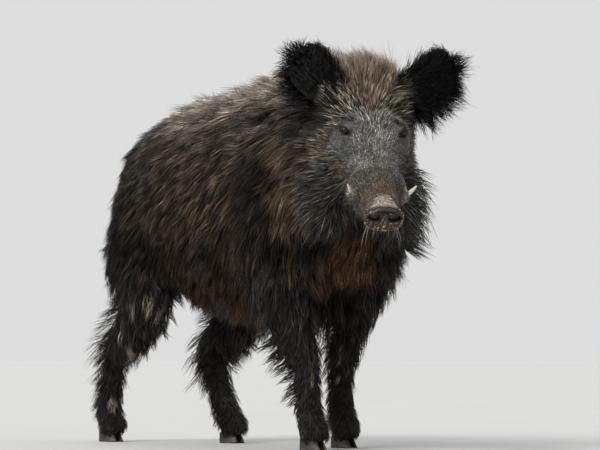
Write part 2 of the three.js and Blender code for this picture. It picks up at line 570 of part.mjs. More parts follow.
const ears = { left: ear(1, EAR_LEFT_TO), right: ear(-1, EAR_RIGHT_TO) };
const earCuts = [ear(1, EAR_LEFT_TO, GAP + 0.2), ear(-1, EAR_RIGHT_TO, GAP + 0.2)];
const eyeCuts = [eyeball(1, GAP + 0.2), eyeball(-1, GAP + 0.2)];
const tuskCuts = [tusk(1, GAP + 0.2), tusk(-1, GAP + 0.2)];
const discCut = disc(GAP + 0.2);
add('ear_left', ears.left, 'dark');
add('ear_right', ears.right, 'dark');
add('eye_left', eyeball(1), 'eye');
add('eye_right', eyeball(-1), 'eye');
add('tusk_left', tusk(1), 'ivory');
add('tusk_right', tusk(-1), 'ivory');
let plate = disc();
for (const side of [1, -1]) {
  const hole = new THREE.CylinderGeometry(DISC.nostril, DISC.nostril * 0.7, 2 * DISC.deep, 12).scale(0.8, 1, 1.1);
  plate = plate.subtract(solid(hole.translate(DISC.apart * side, -DISC.thick, DISC.up).rotateX(rad(DISC.lean)).applyMatrix4(headFrame)));
}
add('snout_disc', plate, 'disc');

// ---------------------------------------------------------------- head, snout and lower jaw
const backTilt = V(0, Math.cos(rad(HEAD_BACK.slope)), -Math.sin(rad(HEAD_BACK.slope))).transformDirection(headFrame);
const backPoint = inHead(0, HEAD_BACK.s, HEAD_BACK.u);
const headRegion = (grow) => beyond(backPoint, backTilt.clone().negate(), grow).intersect(beyond(V(0, 0, 425), V(0, 0, 1), grow));
const wholeHead = largest(solid(facets(outline, [-420, -905, 420], [110, -480, 935], CELL.head)).simplify(FAIR.head).intersect(headRegion(0)));
const snoutBox = (grow) => headBox([-150, -80, MOUTH_U], [150, SNOUT_S, 200], grow);
const jawBox = (grow) => headBox([-150, -80, -260], [150, JAW_S, MOUTH_U - GAP], grow);
const trim = (m, cuts) => largest(cuts.reduce((a, c) => a.subtract(c), m));
const snout = trim(wholeHead.intersect(snoutBox(0)), [discCut, ...tuskCuts]);
const jaw = trim(wholeHead.intersect(jawBox(0)), [discCut, ...tuskCuts]);
const head = trim(wholeHead.subtract(snoutBox(GAP)).subtract(jawBox(GAP)), [...earCuts, ...eyeCuts, ...tuskCuts]);
add('head', head, 'face');
add('snout', snout, 'snout');
add('lower_jaw', jaw, 'dark');

// ---------------------------------------------------------------- neck, trunk and tail
const basePoint = V(0, -NECK_BASE.forward, NECK_BASE.z);
const baseTilt = V(0, -Math.cos(rad(NECK_BASE.slope)), Math.sin(rad(NECK_BASE.slope)));
const neck = trim(
  solid(facets(outline, [-310, -760, 330], [250, -240, 960], CELL.neck)).simplify(FAIR.neck).intersect(beyond(basePoint, baseTilt)),
  [headRegion(GAP), ...earCuts],
);
add('neck', neck, 'coat');

const tailPath = TAIL.map(([x, f, z]) => V(x, -f, z));
const tailRadii = TAIL.map((s) => s[3]);
const tail = (grow) => solid(bar(tailPath, tailRadii.map((r) => r + grow), 12, TAIL_SIDES));
const trunkCuts = [headRegion(GAP), beyond(basePoint, baseTilt, GAP), tail(GAP + 0.4), ...Object.keys(FEET).map((n) => legRegion(n, GAP))];
const trunk = trim(solid(facets(outline, [-270, -640, 215], [270, 640, 965], CELL.trunk)).simplify(FAIR.trunk), trunkCuts);
add('trunk', trunk, 'coat');
add('tail', tail(0), 'dark');

// ---------------------------------------------------------------- the frame: middle of the box, on the floor
const box = new THREE.Box3().setFromObject(boar, true);
const middle = box.getCenter(V(0, 0, 0));
boar.position.set(-middle.x, -middle.y, -box.min.z);

const wildBoar = new THREE.Group();
wildBoar.add(boar);

export default wildBoar;
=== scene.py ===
import math, time
import bpy
import numpy as np
from mathutils import Vector, Matrix, Quaternion, kdtree


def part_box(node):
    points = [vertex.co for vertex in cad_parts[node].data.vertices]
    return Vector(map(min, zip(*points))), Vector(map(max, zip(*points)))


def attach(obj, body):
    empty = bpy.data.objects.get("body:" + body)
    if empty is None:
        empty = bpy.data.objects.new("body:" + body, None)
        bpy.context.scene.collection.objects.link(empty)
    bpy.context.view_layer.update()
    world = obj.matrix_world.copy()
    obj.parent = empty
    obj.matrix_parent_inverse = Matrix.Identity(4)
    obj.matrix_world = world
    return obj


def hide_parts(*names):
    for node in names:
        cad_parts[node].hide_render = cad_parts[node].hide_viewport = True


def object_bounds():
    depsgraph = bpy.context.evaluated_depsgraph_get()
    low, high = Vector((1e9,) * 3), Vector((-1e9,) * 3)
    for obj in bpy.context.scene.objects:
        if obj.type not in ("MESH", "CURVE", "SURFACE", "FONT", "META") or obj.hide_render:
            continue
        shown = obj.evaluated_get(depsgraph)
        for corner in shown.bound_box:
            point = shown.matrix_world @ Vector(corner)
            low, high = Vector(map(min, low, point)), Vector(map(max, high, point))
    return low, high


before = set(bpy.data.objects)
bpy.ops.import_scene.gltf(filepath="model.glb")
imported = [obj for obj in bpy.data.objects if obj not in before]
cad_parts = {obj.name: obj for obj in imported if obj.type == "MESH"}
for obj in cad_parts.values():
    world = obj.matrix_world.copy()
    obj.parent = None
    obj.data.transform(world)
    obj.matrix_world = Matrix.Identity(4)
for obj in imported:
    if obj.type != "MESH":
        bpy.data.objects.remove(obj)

cad_lo, cad_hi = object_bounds()
START = time.time()
RNG = np.random.default_rng(11)
SHARE = 1.0


def stamp(what):
    print(f"[{time.time() - START:6.1f} s] {what}", flush=True)


# =====================================================================================================================
# The body's form. Millimetres; rows hold x to the left, f forward (-Y), z up, half width, top, bottom and exponent.
# =====================================================================================================================
TORSO = [
    [0, -405, 594, 92, 158, 160, 2.1], [0, -320, 590, 124, 188, 190, 2.15], [0, -190, 584, 158, 222, 228, 2.15],
    [0, -30, 582, 173, 240, 262, 2.15], [0, 120, 586, 182, 254, 276, 2.15], [-3, 250, 596, 184, 261, 262, 2.1],
    [-12, 350, 616, 174, 246, 240, 2.25], [-24, 430, 644, 152, 222, 216, 2.5], [-42, 500, 676, 126, 186, 184, 2.5],
    [-62, 560, 704, 98, 146, 148, 2.4],
]
TORSO_REAR, TORSO_FRONT, TORSO_K = 118, 60, 60
LEGS = {
    "fr": [
        [-122, 310, 520, 66, 92, 104, 2.2], [-120, 314, 420, 60, 76, 92, 2.2], [-108, 326, 330, 46, 50, 60, 2.1],
        [-97, 348, 258, 33, 35, 38, 2.0], [-92, 362, 218, 32, 34, 33, 2.1], [-88, 370, 184, 27, 28, 28, 2.0],
        [-87, 376, 132, 23, 24, 25, 2.0], [-86, 380, 92, 26, 26, 31, 2.0], [-86, 392, 64, 27, 25, 27, 2.0],
        [-86, 402, 42, 30, 28, 27, 2.2],
    ],
    "fl": [
        [122, 300, 520, 66, 92, 104, 2.2], [120, 296, 420, 60, 76, 92, 2.2], [108, 284, 330, 46, 50, 60, 2.1],
        [94, 264, 258, 33, 35, 38, 2.0], [89, 257, 218, 32, 34, 33, 2.1], [86, 252, 184, 27, 28, 28, 2.0],
        [85, 250, 132, 23, 24, 25, 2.0], [85, 250, 92, 26, 26, 31, 2.0], [85, 260, 64, 27, 25, 27, 2.0],
        [85, 270, 42, 30, 28, 27, 2.2],
    ],
    "hr": [
        [-72, -362, 570, 54, 120, 96, 2.2], [-88, -344, 480, 62, 128, 108, 2.2], [-103, -326, 385, 58, 98, 98, 2.2],
        [-102, -350, 318, 45, 76, 70, 2.1], [-98, -414, 262, 31, 52, 48, 2.0], [-96, -460, 230, 27, 40, 40, 2.0],
        [-94, -486, 186, 23, 27, 30, 2.0], [-92, -502, 130, 22, 24, 26, 2.0], [-91, -514, 90, 26, 26, 31, 2.0],
        [-90, -508, 62, 27, 25, 27, 2.0], [-90, -498, 42, 30, 28, 27, 2.2],
    ],
    "hl": [
        [72, -354, 570, 54, 120, 98, 2.2], [96, -312, 480, 64, 130, 116, 2.2], [109, -238, 385, 62, 98, 110, 2.2],
        [107, -231, 318, 52, 74, 82, 2.1], [102, -288, 262, 39, 56, 56, 2.0], [97, -328, 232, 31, 48, 46, 2.0],
        [93, -318, 186, 27, 34, 34, 2.0], [89, -288, 130, 23, 26, 27, 2.0], [88, -262, 90, 27, 27, 31, 2.0],
        [88, -240, 64, 27, 25, 28, 2.0], [88, -222, 42, 30, 28, 27, 2.2],
    ],
}
TAIL = [
    [0, -496, 690, 18, 18, 18, 2.0], [2, -536, 655, 15, 15, 15, 2.0], [6, -556, 570, 11, 11, 11, 2.0],
    [12, -556, 480, 9, 9, 9, 2.0], [16, -548, 400, 7, 7, 7, 2.0],
]
# The head has its own frame: v left, s back from the snout disc, u up.
HEAD_NOSE, HEAD_TURN = (-213, 860, 502), (26.0, 31.0, 2.5)
HEAD = [
    [0, 8, 0, 39, 31, 30, 2.2], [0, 40, 0, 34, 37, 40, 2.2], [0, 85, 0, 40, 46, 56, 2.2], [0, 125, 0, 48, 53, 68, 2.2],
    [0, 175, 0, 50, 62, 82, 2.2], [0, 225, 0, 60, 72, 96, 2.2], [0, 270, 0, 75, 82, 108, 2.2],
    [0, 320, 0, 80, 94, 118, 2.2], [0, 370, 0, 82, 106, 112, 2.2], [0, 415, 0, 78, 110, 96, 2.1],
    [0, 455, 0, 68, 96, 80, 2.0],
]
HEAD_BALLS = [  # v, s, u, three radii, blend
    [50, 266, 60, 23, 34, 25, 26], [64, 312, 6, 24, 62, 40, 40], [78, 302, -120, 46, 72, 76, 50],
    [44, 122, 2, 17, 30, 30, 22], [40, 380, 74, 34, 40, 34, 40],
]
EAR_LEN, EAR_HALF, EAR_CUP, EAR_THICK = {1: 158, -1: 136}, {1: 61, -1: 55}, 28, 7
EAR_BASE, EAR_OPEN = (66, 384, 86), (0.40, -0.90, 0.10)
EAR_DIR = {1: (0.80, 0.34, 0.48), -1: (0.66, 0.42, 0.60)}
EYE_AT, EYE_R = (60, 250, 74), 13.5
EYE_AXIS, EYE_LINE = (0.60, -0.66, 0.45), (0.70, 0.66, 0.22)
LID_OUT, LID_IN, LID_LONG, LID_UP, LID_DOWN = 15.4, 12.4, 12.4, 6.6, 5.4
TUSKS = {
    "left": [[44, 124, -26], [54, 118, -12], [66, 111, 1], [74, 107, 12], [81, 105, 24]],
    "right": [[-40, 124, -26], [-47, 118, -14], [-54, 111, -3], [-61, 106, 9], [-67, 105, 20]],
}
TUSK_R, TUSK_TAPER = 6.0, [0.9, 1.0, 0.9, 0.7, 0.3]
FEET = {"front_right": (-86, 372, -1), "front_left": (85, 240, 1), "hind_right": (-90, -528, -1), "hind_left": (88, -252, 1)}
# Swellings and hollows of the face, both sides: v, s, u, three widths, height.
FACE = [
    [60, 250, 74, 34, 34, 34, 8.0], [44, 276, 92, 18, 24, 12, 4.0], [50, 200, 62, 12, 18, 14, -4.0],
    [64, 232, 46, 16, 22, 9, 2.5], [40, 120, 38, 12, 40, 10, 1.5], [47, 119, -8, 12, 16, 12, 3.0],
    [58, 114, -8, 13, 15, 10, 7.0], [34, 38, -18, 10, 14, 8, 2.0], [0, 305, 96, 18, 40, 22, -1.5], [58, 160, 8, 12, 30, 12, -1.5],
]


def unit(v):
    v = np.asarray(v, float)
    return v / np.maximum(np.linalg.norm(v, axis=-1, keepdims=True), 1e-9)


def catmull(rows, n):
    r = np.array(rows, float)
    ext = np.vstack([2 * r[0] - r[1], r, 2 * r[-1] - r[-2]])
    out = []
    for i in range(len(r) - 1):
        p0, p1, p2, p3 = ext[i:i + 4]
        for k in range(n):
            t = k / n
            out.append(0.5 * (2 * p1 + (p2 - p0) * t + (2 * p0 - 5 * p1 + 4 * p2 - p3) * t * t + (3 * p1 - p0 - 3 * p2 + p3) * t ** 3))
    out.append(r[-1])
    return np.array(out)


def smin(a, b, k):
    h = np.maximum(k - np.abs(a - b), 0) / k
    return np.minimum(a, b) - h * h * k * 0.25


def smooth(x, a, b):
    t = np.clip((x - a) / (b - a), 0.0, 1.0)
    return t * t * (3 - 2 * t)


class Loft:
    """Superelliptic sections along a curve."""

    def __init__(self, rows, up, n=4):
        r = catmull(rows, n)
        self.c, self.par = r[:, :3], r[:, 3:7]
        self.t = unit(np.gradient(self.c, axis=0))
        self.side = unit(np.cross(self.t, np.array(up, float)))
        self.up = np.cross(self.side, self.t)
        far = self.par[:, :3].max(1)[:, None]
        self.lo, self.hi = (self.c - far).min(0), (self.c + far).max(0)

    def near(self, p, m):
        return ((p > self.lo - m) & (p < self.hi + m)).all(1)

    def __call__(self, p):
        best = np.full(len(p), np.inf)
        seg = np.zeros(len(p), int)
        tt = np.zeros(len(p))
        for i in range(len(self.c) - 1):
            a, ab = self.c[i], self.c[i + 1] - self.c[i]
            w = p - a
            t = np.clip((w @ ab) / (ab @ ab), 0, 1)
            q = w - t[:, None] * ab
            d = np.einsum("ij,ij->i", q, q)
            m = d < best
            best[m], seg[m], tt[m] = d[m], i, t[m]
        u = tt[:, None]
        mix = lambda a: a[seg] * (1 - u) + a[seg + 1] * u
        v = p - mix(self.c)
        w, tp, bt, e = mix(self.par).T
        x = np.einsum("ij,ij->i", v, mix(self.side))
        z = np.einsum("ij,ij->i", v, mix(self.up))
        r2 = np.einsum("ij,ij->i", v, v)
        y = np.sqrt(np.maximum(r2 - x * x - z * z, 0))
        cap = np.minimum(np.minimum(w, tp), bt)
        g = (np.abs(x) / w) ** e + (np.abs(z) / np.where(z > 0, tp, bt)) ** e + (y / cap) ** e
        g = np.maximum(g, 1e-9) ** (1 / e)
        r = np.sqrt(r2)
        return np.where(r < 1e-6, -cap, r - r / g)


def flip(rows):
    return [[r[0], -r[1], *r[2:]] for r in rows]


_yaw, _pitch, _roll = np.radians(HEAD_TURN)
_fwd = np.array([-np.sin(_yaw), -np.cos(_yaw), 0])
_left = np.array([np.cos(_yaw), -np.sin(_yaw), 0])
_axis = _fwd * np.cos(_pitch) - np.array([0, 0, 1]) * np.sin(_pitch)
_up = _fwd * np.sin(_pitch) + np.array([0, 0, 1]) * np.cos(_pitch)
HEAD_AXES = np.array([_left * np.cos(_roll) - _up * np.sin(_roll), -_axis, _up * np.cos(_roll) + _left * np.sin(_roll)])
NOSE = np.array([HEAD_NOSE[0], -HEAD_NOSE[1], HEAD_NOSE[2]], float)


def to_head(p):
    return (p - NOSE) @ HEAD_AXES.T


def from_head(q):
    return NOSE + np.asarray(q, float) @ HEAD_AXES


def torso(p):
    r = TORSO_ROWS
    y = np.clip(p[:, 1], r[0, 1], r[-1, 1])
    x0, z0, w, tp, bt, e = (np.interp(y, r[:, 1], r[:, i]) for i in (0, 2, 3, 4, 5, 6))
    dx, dz, dy = p[:, 0] - x0, p[:, 2] - z0, p[:, 1] - y
    g = (np.abs(dx) / w) ** e + (np.abs(dz) / np.where(dz > 0, tp, bt)) ** e + (np.abs(dy) / np.where(dy > 0, TORSO_REAR, TORSO_FRONT)) ** e
    g = np.maximum(g, 1e-9) ** (1 / e)
    r = np.sqrt(dx * dx + dz * dz + dy * dy)
    return np.where(r < 1e-6, -w, r - r / g)


def ellipsoid(q, r):
    r = np.array(r, float)
    k0 = np.linalg.norm(q / r, axis=1)
    k1 = np.linalg.norm(q / (r * r), axis=1)
    return np.where(k1 > 1e-12, k0 * (k0 - 1) / np.maximum(k1, 1e-12), -r.min())


def ear_axes(side):
    l = unit(np.array([EAR_DIR[side][0] * side, EAR_DIR[side][1], EAR_DIR[side][2]]))
    n = np.array([EAR_OPEN[0] * side, EAR_OPEN[1], EAR_OPEN[2]])
    n = unit(n - (n @ l) * l)
    return np.array([l, np.cross(n, l), n])


EAR_AXES = {s: ear_axes(s) for s in (1, -1)}


def ear_place(q, side):
    """Along, across and out of the ear's open face."""
    return (q - np.array([EAR_BASE[0] * side, EAR_BASE[1], EAR_BASE[2]], float)) @ EAR_AXES[side].T


def ear_half(x, side):
    return np.minimum(EAR_HALF[side] * (0.66 + 1.0 * x) * np.sqrt(np.maximum(1 - x ** 2.3, 0)) * 0.86 + 2, EAR_HALF[side])


def ear(q, side, fat=0.0):
    l, w, n = ear_place(q, side).T
    lc = np.clip(l, 0, EAR_LEN[side])
    x = lc / EAR_LEN[side]
    half = ear_half(x, side)
    wc = np.clip(w, -half, half)
    nc = EAR_CUP * (1 - 0.55 * x) * (wc / EAR_HALF[side]) ** 2 + 10 * (x - 0.4) ** 2 - 6
    th = EAR_THICK * (1 - 0.35 * x) + 10 * np.maximum(0.25 - x, 0)
    return np.sqrt((l - lc) ** 2 + (w - wc) ** 2 + (n - nc) ** 2) - th / 2 - fat


_t = catmull(flip(TORSO), 6)
TORSO_ROWS = _t[np.argsort(_t[:, 1])]
LOFTS = {k: Loft(flip(r), (0, -1, 0)) for k, r in LEGS.items()}
LOFTS["tail"] = Loft(flip(TAIL), (0, -1, 0), 3)
LOFTS["head"] = Loft(HEAD, (0, 0, 1))
EYES = {}
for _s in (1, -1):
    _e = unit(np.array([EYE_AXIS[0] * _s, EYE_AXIS[1], EYE_AXIS[2]]))
    _l = np.array([EYE_LINE[0] * _s, EYE_LINE[1], EYE_LINE[2]])
    _l = unit(_l - (_l @ _e) * _e)
    _o = np.cross(_e, _l)
    EYES[_s] = (np.array([EYE_AT[0] * _s, EYE_AT[1], EYE_AT[2]], float), _l, _o if _o[2] > 0 else -_o, _e)


def mouth_line(s):
    return -23 - 5 * np.sin(np.pi * np.clip((s - 20) / 140, 0, 1))


def nose_window(v, s, u):
    return smooth(s, 9, 13) * (1 - smooth(s, 32, 44)) * np.exp(-(v / 27) ** 4) * smooth(u, 8, 22)


def nose_fold(v, s):
    """+1 in the grooves of the folded nose, -1 on their crests."""
    return np.cos(2 * np.pi * (s + 0.010 * v * v + 1.5 * np.sin(v / 6.5)) / 8.2)


def head_field(q, plain=False):
    d = LOFTS["head"](q)
    for v, s, u, rv, rs, ru, k in HEAD_BALLS:
        for side in (1, -1):
            c = np.array([v * side, s, u])
            m = (np.abs(q - c) < np.array([rv, rs, ru]) + k + 60).all(1)
            d[m] = smin(d[m], ellipsoid(q[m] - c, (rv, rs, ru)), k)
    if plain:
        return d
    near = np.abs(d) < 45
    a, dn = q[near], d[near]
    w = np.abs(a[:, 0])
    v, s, u = a.T
    for cv, cs, cu, rv, rs, ru, h in FACE:
        dn = dn - h * np.exp(-((w - cv) / rv) ** 2 - ((s - cs) / rs) ** 2 - ((u - cu) / ru) ** 2)
    dn = dn - 8.0 * (v > 0) * np.exp(-((w - 64) / 13) ** 2 - ((s - 108) / 14) ** 2 - ((u + 5) / 11) ** 2)
    # the mouth's groove, with the lower lip set back a little
    um = mouth_line(s)
    win = smooth(s, 12, 22) * (1 - smooth(s, 138, 156))
    dn = dn + 4.5 * win * np.exp(-((u - um) / 2.4) ** 2)
    dn = dn + 2.6 * win * smooth(um - u, -2, 4) * (1 - smooth(um - u, 8, 34))
    # folds of bare skin on the nose, behind the disc
    win = nose_window(v, s, u)
    dn = dn + 2.0 * win * nose_fold(v, s)
    dn = dn + 0.8 * win * np.cos(2 * np.pi * (v + 0.35 * s) / 9.5)
    # shallow folds across the sides of the muzzle, and below the eye
    win = smooth(s, 45, 60) * (1 - smooth(s, 95, 115)) * smooth(w, 22, 34) * smooth(u, -16, -4) * (1 - smooth(u, 26, 38))
    dn = dn + 0.8 * win * np.cos(2 * np.pi * (s - 0.55 * u) / 11)
    for side in (1, -1):
        c, along, over, out = EYES[side]
        m = ((a - c) ** 2).sum(1) < 45 ** 2
        if not m.any():
            continue
        e = a[m] - c
        r = np.sqrt((e * e).sum(1))
        ea, eo, ee = e @ along, e @ over, e @ out
        x = dn[m]
        x = smin(x, r - LID_OUT, 6)
        rho = np.sqrt(ea ** 2 + (eo * 1.25) ** 2)
        x = x + 0.75 * np.cos(2 * np.pi * (rho - 17) / 6.0) * smooth(rho, 16, 20) * (1 - smooth(rho, 27, 33)) * smooth(-eo, 0, 8) * smooth(ee, -4, 4)
        x = x + 1.5 * np.exp(-((eo - 11.2 + 0.022 * ea ** 2) / 1.5) ** 2 - (ea / 13) ** 4) * smooth(ee, 0, 5)
        g = np.sqrt((np.abs(ea) / LID_LONG) ** 2 + (np.abs(eo) / np.where(eo > 0, LID_UP, LID_DOWN)) ** 1.7)
        cut = np.maximum(np.maximum((g - 1) * 5.5, LID_IN - r), -ee)
        h = np.maximum(1.2 - np.abs(x + cut), 0) / 1.2
        dn[m] = np.maximum(x, -cut) + h * h * 0.3
    dn = np.maximum(dn, 4.0 - s)
    d[near] = dn
    return d


def skin(p, fat=0.0):
    """Signed distance to the skin, near enough, in millimetres."""
    d = torso(p)
    for k in ("fr", "fl", "hr", "hl"):
        m = LOFTS[k].near(p, 110)
        if m.any():
            d[m] = smin(d[m], LOFTS[k](p[m]), 50)
    m = LOFTS["tail"].near(p, 60)
    if m.any():
        d[m] = smin(d[m], LOFTS["tail"](p[m]), 24)
    q = to_head(p)
    m = LOFTS["head"].near(q, 130)
    if m.any():
        d[m] = smin(d[m], head_field(q[m]), TORSO_K)
    m = (np.abs(q - np.array([0, 420, 150])) < np.array([290, 190, 210])).all(1)
    if m.any():
        for side in (1, -1):
            d[m] = smin(d[m], ear(q[m], side, fat), 16)
    return d


# =====================================================================================================================
# Grids of the distance, for the skin's mesh and for laying the coat over it.
# =====================================================================================================================
def upsample(v, ratio, shape):
    for ax in range(3):
        x = np.arange(shape[ax]) / ratio
        i = np.minimum(x.astype(int), v.shape[ax] - 2)
        f = (x - i).reshape([-1 if k == ax else 1 for k in range(3)])
        v = np.take(v, i, ax) * (1 - f) + np.take(v, i + 1, ax) * f
    return v


class Grid:
    def __init__(self, lo, hi, h, band, ratio=4):
        self.lo, self.h = np.array(lo, float), float(h)
        H = h * ratio
        n = np.ceil((np.array(hi) - self.lo) / H).astype(int) + 2
        ax = [self.lo[i] + H * np.arange(n[i]) for i in range(3)]
        g = np.stack(np.meshgrid(*ax, indexing="ij"), -1).reshape(-1, 3)
        coarse = skin(g).reshape(n)
        m = (n - 1) * ratio
        v = upsample(coarse, ratio, m)
        idx = np.argwhere(np.abs(v) < band)
        v[tuple(idx.T)] = skin(idx * self.h + self.lo)
        self.v = v
        gr = np.gradient(v, self.h)
        self.data = np.stack([v, *gr], -1).astype(np.float32).reshape(-1, 4)
        self.n = np.array(v.shape)

    def __call__(self, p):
        """Distance and unit gradient."""
        x = (p - self.lo) / self.h
        i = np.clip(x.astype(int), 0, self.n - 2)
        f = np.clip(x - i, 0, 1)
        base = (i[:, 0] * self.n[1] + i[:, 1]) * self.n[2] + i[:, 2]
        out = 0
        for dx in (0, 1):
            for dy in (0, 1):
                for dz in (0, 1):
                    w = (f[:, 0] if dx else 1 - f[:, 0]) * (f[:, 1] if dy else 1 - f[:, 1]) * (f[:, 2] if dz else 1 - f[:, 2])
                    out = out + w[:, None] * self.data[base + (dx * self.n[1] + dy) * self.n[2] + dz]
        return out[:, 0], unit(out[:, 1:])


def nets(v, lo, h):
    """The surface where v changes sign, as quads."""
    n = np.array(v.shape)
    s = v < 0
    c = n - 1
    cnt = np.zeros(c, np.int8)
    for dx in (0, 1):
        for dy in (0, 1):
            for dz in (0, 1):
                cnt += s[dx:dx + c[0], dy:dy + c[1], dz:dz + c[2]]
    act = (cnt > 0) & (cnt < 8)
    idx = -np.ones(c, int)
    cells = np.argwhere(act)
    idx[act] = np.arange(len(cells))
    acc, num = np.zeros((len(cells), 3)), np.zeros(len(cells))
    for a in [(i, j, k) for i in (0, 1) for j in (0, 1) for k in (0, 1)]:
        for ax in range(3):
            if a[ax]:
                continue
            b = list(a)
            b[ax] = 1
            ia, ib = cells + np.array(a), cells + np.array(b)
            va, vb = v[tuple(ia.T)], v[tuple(ib.T)]
            m = (va < 0) != (vb < 0)
            t = np.where(m, va / np.where(m, va - vb, 1), 0)
            acc[m] += (np.array(a, float) + t[:, None] * (np.array(b) - np.array(a)))[m]
            num[m] += 1
    verts = lo + h * (cells + acc / num[:, None])
    quads = []
    for ax in range(3):
        o1, o2 = (ax + 1) % 3, (ax + 2) % 3
        s0, s1 = [slice(None)] * 3, [slice(None)] * 3
        s0[ax], s1[ax] = slice(0, n[ax] - 1), slice(1, n[ax])
        a, b = s[tuple(s0)], s[tuple(s1)]
        e = np.argwhere(a != b)
        inside = a[tuple(e.T)]
        ok = (e[:, o1] > 0) & (e[:, o1] < n[o1] - 1) & (e[:, o2] > 0) & (e[:, o2] < n[o2] - 1)
        e, inside = e[ok], inside[ok]

        def cell(d1, d2):
            q = e.copy()
            q[:, o1] -= d1
            q[:, o2] -= d2
            return idx[q[:, 0], q[:, 1], q[:, 2]]
        q = np.stack([cell(1, 1), cell(0, 1), cell(0, 0), cell(1, 0)], 1)
        q[~inside] = q[~inside][:, ::-1]
        quads.append(q)
    return verts, np.concatenate(quads)


BOX_LO, BOX_HI = (-330, -970, -40), (300, 660, 1000)
G1 = Grid(BOX_LO, BOX_HI, 8, 95)
stamp("body grid")
HEAD_LO, HEAD_HI = (-420, -910, 400), (120, -470, 950)
G2 = Grid(HEAD_LO, HEAD_HI, 4, 48)
stamp("head grid")


def lookup(p, head):
    d, n = G1(p)
    if head.any():
        d2, n2 = G2(p[head])
        d[head], n[head] = d2, n2
    return d, n


# ---------------------------------------------------------------------------------------------------- the skin's mesh
def slope(p, field, e=0.6):
    g = np.empty_like(p)
    for i in range(3):
        a, b = p.copy(), p.copy()
        a[:, i] += e
        b[:, i] -= e
        g[:, i] = (field(a) - field(b)) / (2 * e)
    return g


def settle(p, field, steps=2, most=4.0):
    for _ in range(steps):
        d, g = field(p), slope(p, field)
        k = d / np.maximum((g * g).sum(1), 0.25)
        p = p - g * np.clip(k, -most, most)[:, None]
    return p


def finer(V, T, size, field, rounds=4):
    """Splits every edge that is longer than the size wanted there."""
    for _ in range(rounds):
        E = np.concatenate([T[:, [0, 1]], T[:, [1, 2]], T[:, [2, 0]]])
        key = np.sort(E, 1)
        u, inv = np.unique(key[:, 0].astype(np.int64) * len(V) + key[:, 1], return_inverse=True)
        a, b = u // len(V), u % len(V)
        mid = (V[a] + V[b]) / 2
        cut = np.linalg.norm(V[a] - V[b], axis=1) > size(mid) * 1.35
        if not cut.any():
            break
        new = np.full(len(u), -1)
        new[cut] = len(V) + np.arange(cut.sum())
        V = np.concatenate([V, settle(mid[cut], field, 1)])
        inv = inv.reshape(3, -1).T
        m = new[inv]                                   # per triangle: midpoints of edges 01, 12, 20
        k = (m >= 0).sum(1)
        out = [T[k == 0]]
        t, w = T[k == 3], m[k == 3]
        out += [np.stack(c, 1) for c in ((t[:, 0], w[:, 0], w[:, 2]), (w[:, 0], t[:, 1], w[:, 1]), (w[:, 2], w[:, 1], t[:, 2]), (w[:, 0], w[:, 1], w[:, 2]))]
        for i in range(3):                             # one cut edge, between corners i and i+1
            s = (k == 1) & (m[:, i] >= 0)
            t, w = T[s], m[s, i]
            p, q, r = t[:, i], t[:, (i + 1) % 3], t[:, (i + 2) % 3]
            out += [np.stack((p, w, r), 1), np.stack((w, q, r), 1)]
            s = (k == 2) & (m[:, i] < 0)               # edge i stays whole
            t, w1, w2 = T[s], m[s, (i + 1) % 3], m[s, (i + 2) % 3]
            p, q, r = t[:, i], t[:, (i + 1) % 3], t[:, (i + 2) % 3]
            out += [np.stack((p, q, w1), 1), np.stack((p, w1, w2), 1), np.stack((w2, w1, r), 1)]
        T = np.concatenate(out)
    return V, T


def relax(V, T, where, rounds=2, rate=0.5):
    """Evens the spacing of the vertices along the surface."""
    E = np.concatenate([T[:, [0, 1]], T[:, [1, 2]], T[:, [2, 0]]])
    n = len(V)
    for _ in range(rounds):
        acc, num = np.zeros((n, 3)), np.zeros(n)
        for i in range(3):
            acc[:, i] = np.bincount(E[:, 0], V[E[:, 1], i], n) + np.bincount(E[:, 1], V[E[:, 0], i], n)
        num = np.bincount(E[:, 0], minlength=n) + np.bincount(E[:, 1], minlength=n)
        V = np.where(where[:, None], V + rate * (acc / num[:, None] - V), V)
    return V


def eye_gap(p):
    q = to_head(p)
    return np.minimum(np.linalg.norm(q - EYES[1][0], axis=1), np.linalg.norm(q - EYES[-1][0], axis=1))


def wanted(p):
    q = to_head(p)
    v, s, u = q.T
    size = np.full(len(p), 12.5)
    size[p[:, 2] < 340] = 8.5
    inhead = (s < 420) & (np.abs(v) < 150) & (u < 180) & (u > -190) & (s > -30)
    size[inhead] = 6.0
    face = inhead & (s < 300) & (np.abs(v) < 90) & (u > -50)
    size[face] = 4.2
    nose = inhead & (s < 58) & (u > -45)
    size[nose] = 2.1
    mouth = inhead & (s < 160) & (np.abs(u - mouth_line(s)) < 12) & (np.abs(v) > 18)
    size[mouth] = 2.2
    for side in (1, -1):
        l, w, n = ear_place(q, side).T
        size[(l > 8) & (l < EAR_LEN[side] + 14) & (np.abs(w) < EAR_HALF[side] + 12) & (n > -30) & (n < 40)] = 5.0
    e = eye_gap(p)
    size[e < 38] = np.minimum(size[e < 38], 2.6)
    size[e < 23] = 1.25
    return size


fatgrid = G1.v.copy()
_i = np.argwhere(np.abs(fatgrid) < 40)
_p = _i * G1.h + G1.lo
_q = to_head(_p)
_m = (np.abs(_q - np.array([0, 420, 150])) < np.array([290, 190, 210])).all(1)
fatgrid[tuple(_i[_m].T)] = skin(_p[_m], 3.4)
V, Q = nets(fatgrid, G1.lo, G1.h)
T = np.concatenate([Q[:, [0, 1, 2]], Q[:, [0, 2, 3]]])
stamp(f"skin net {len(V)} vertices")


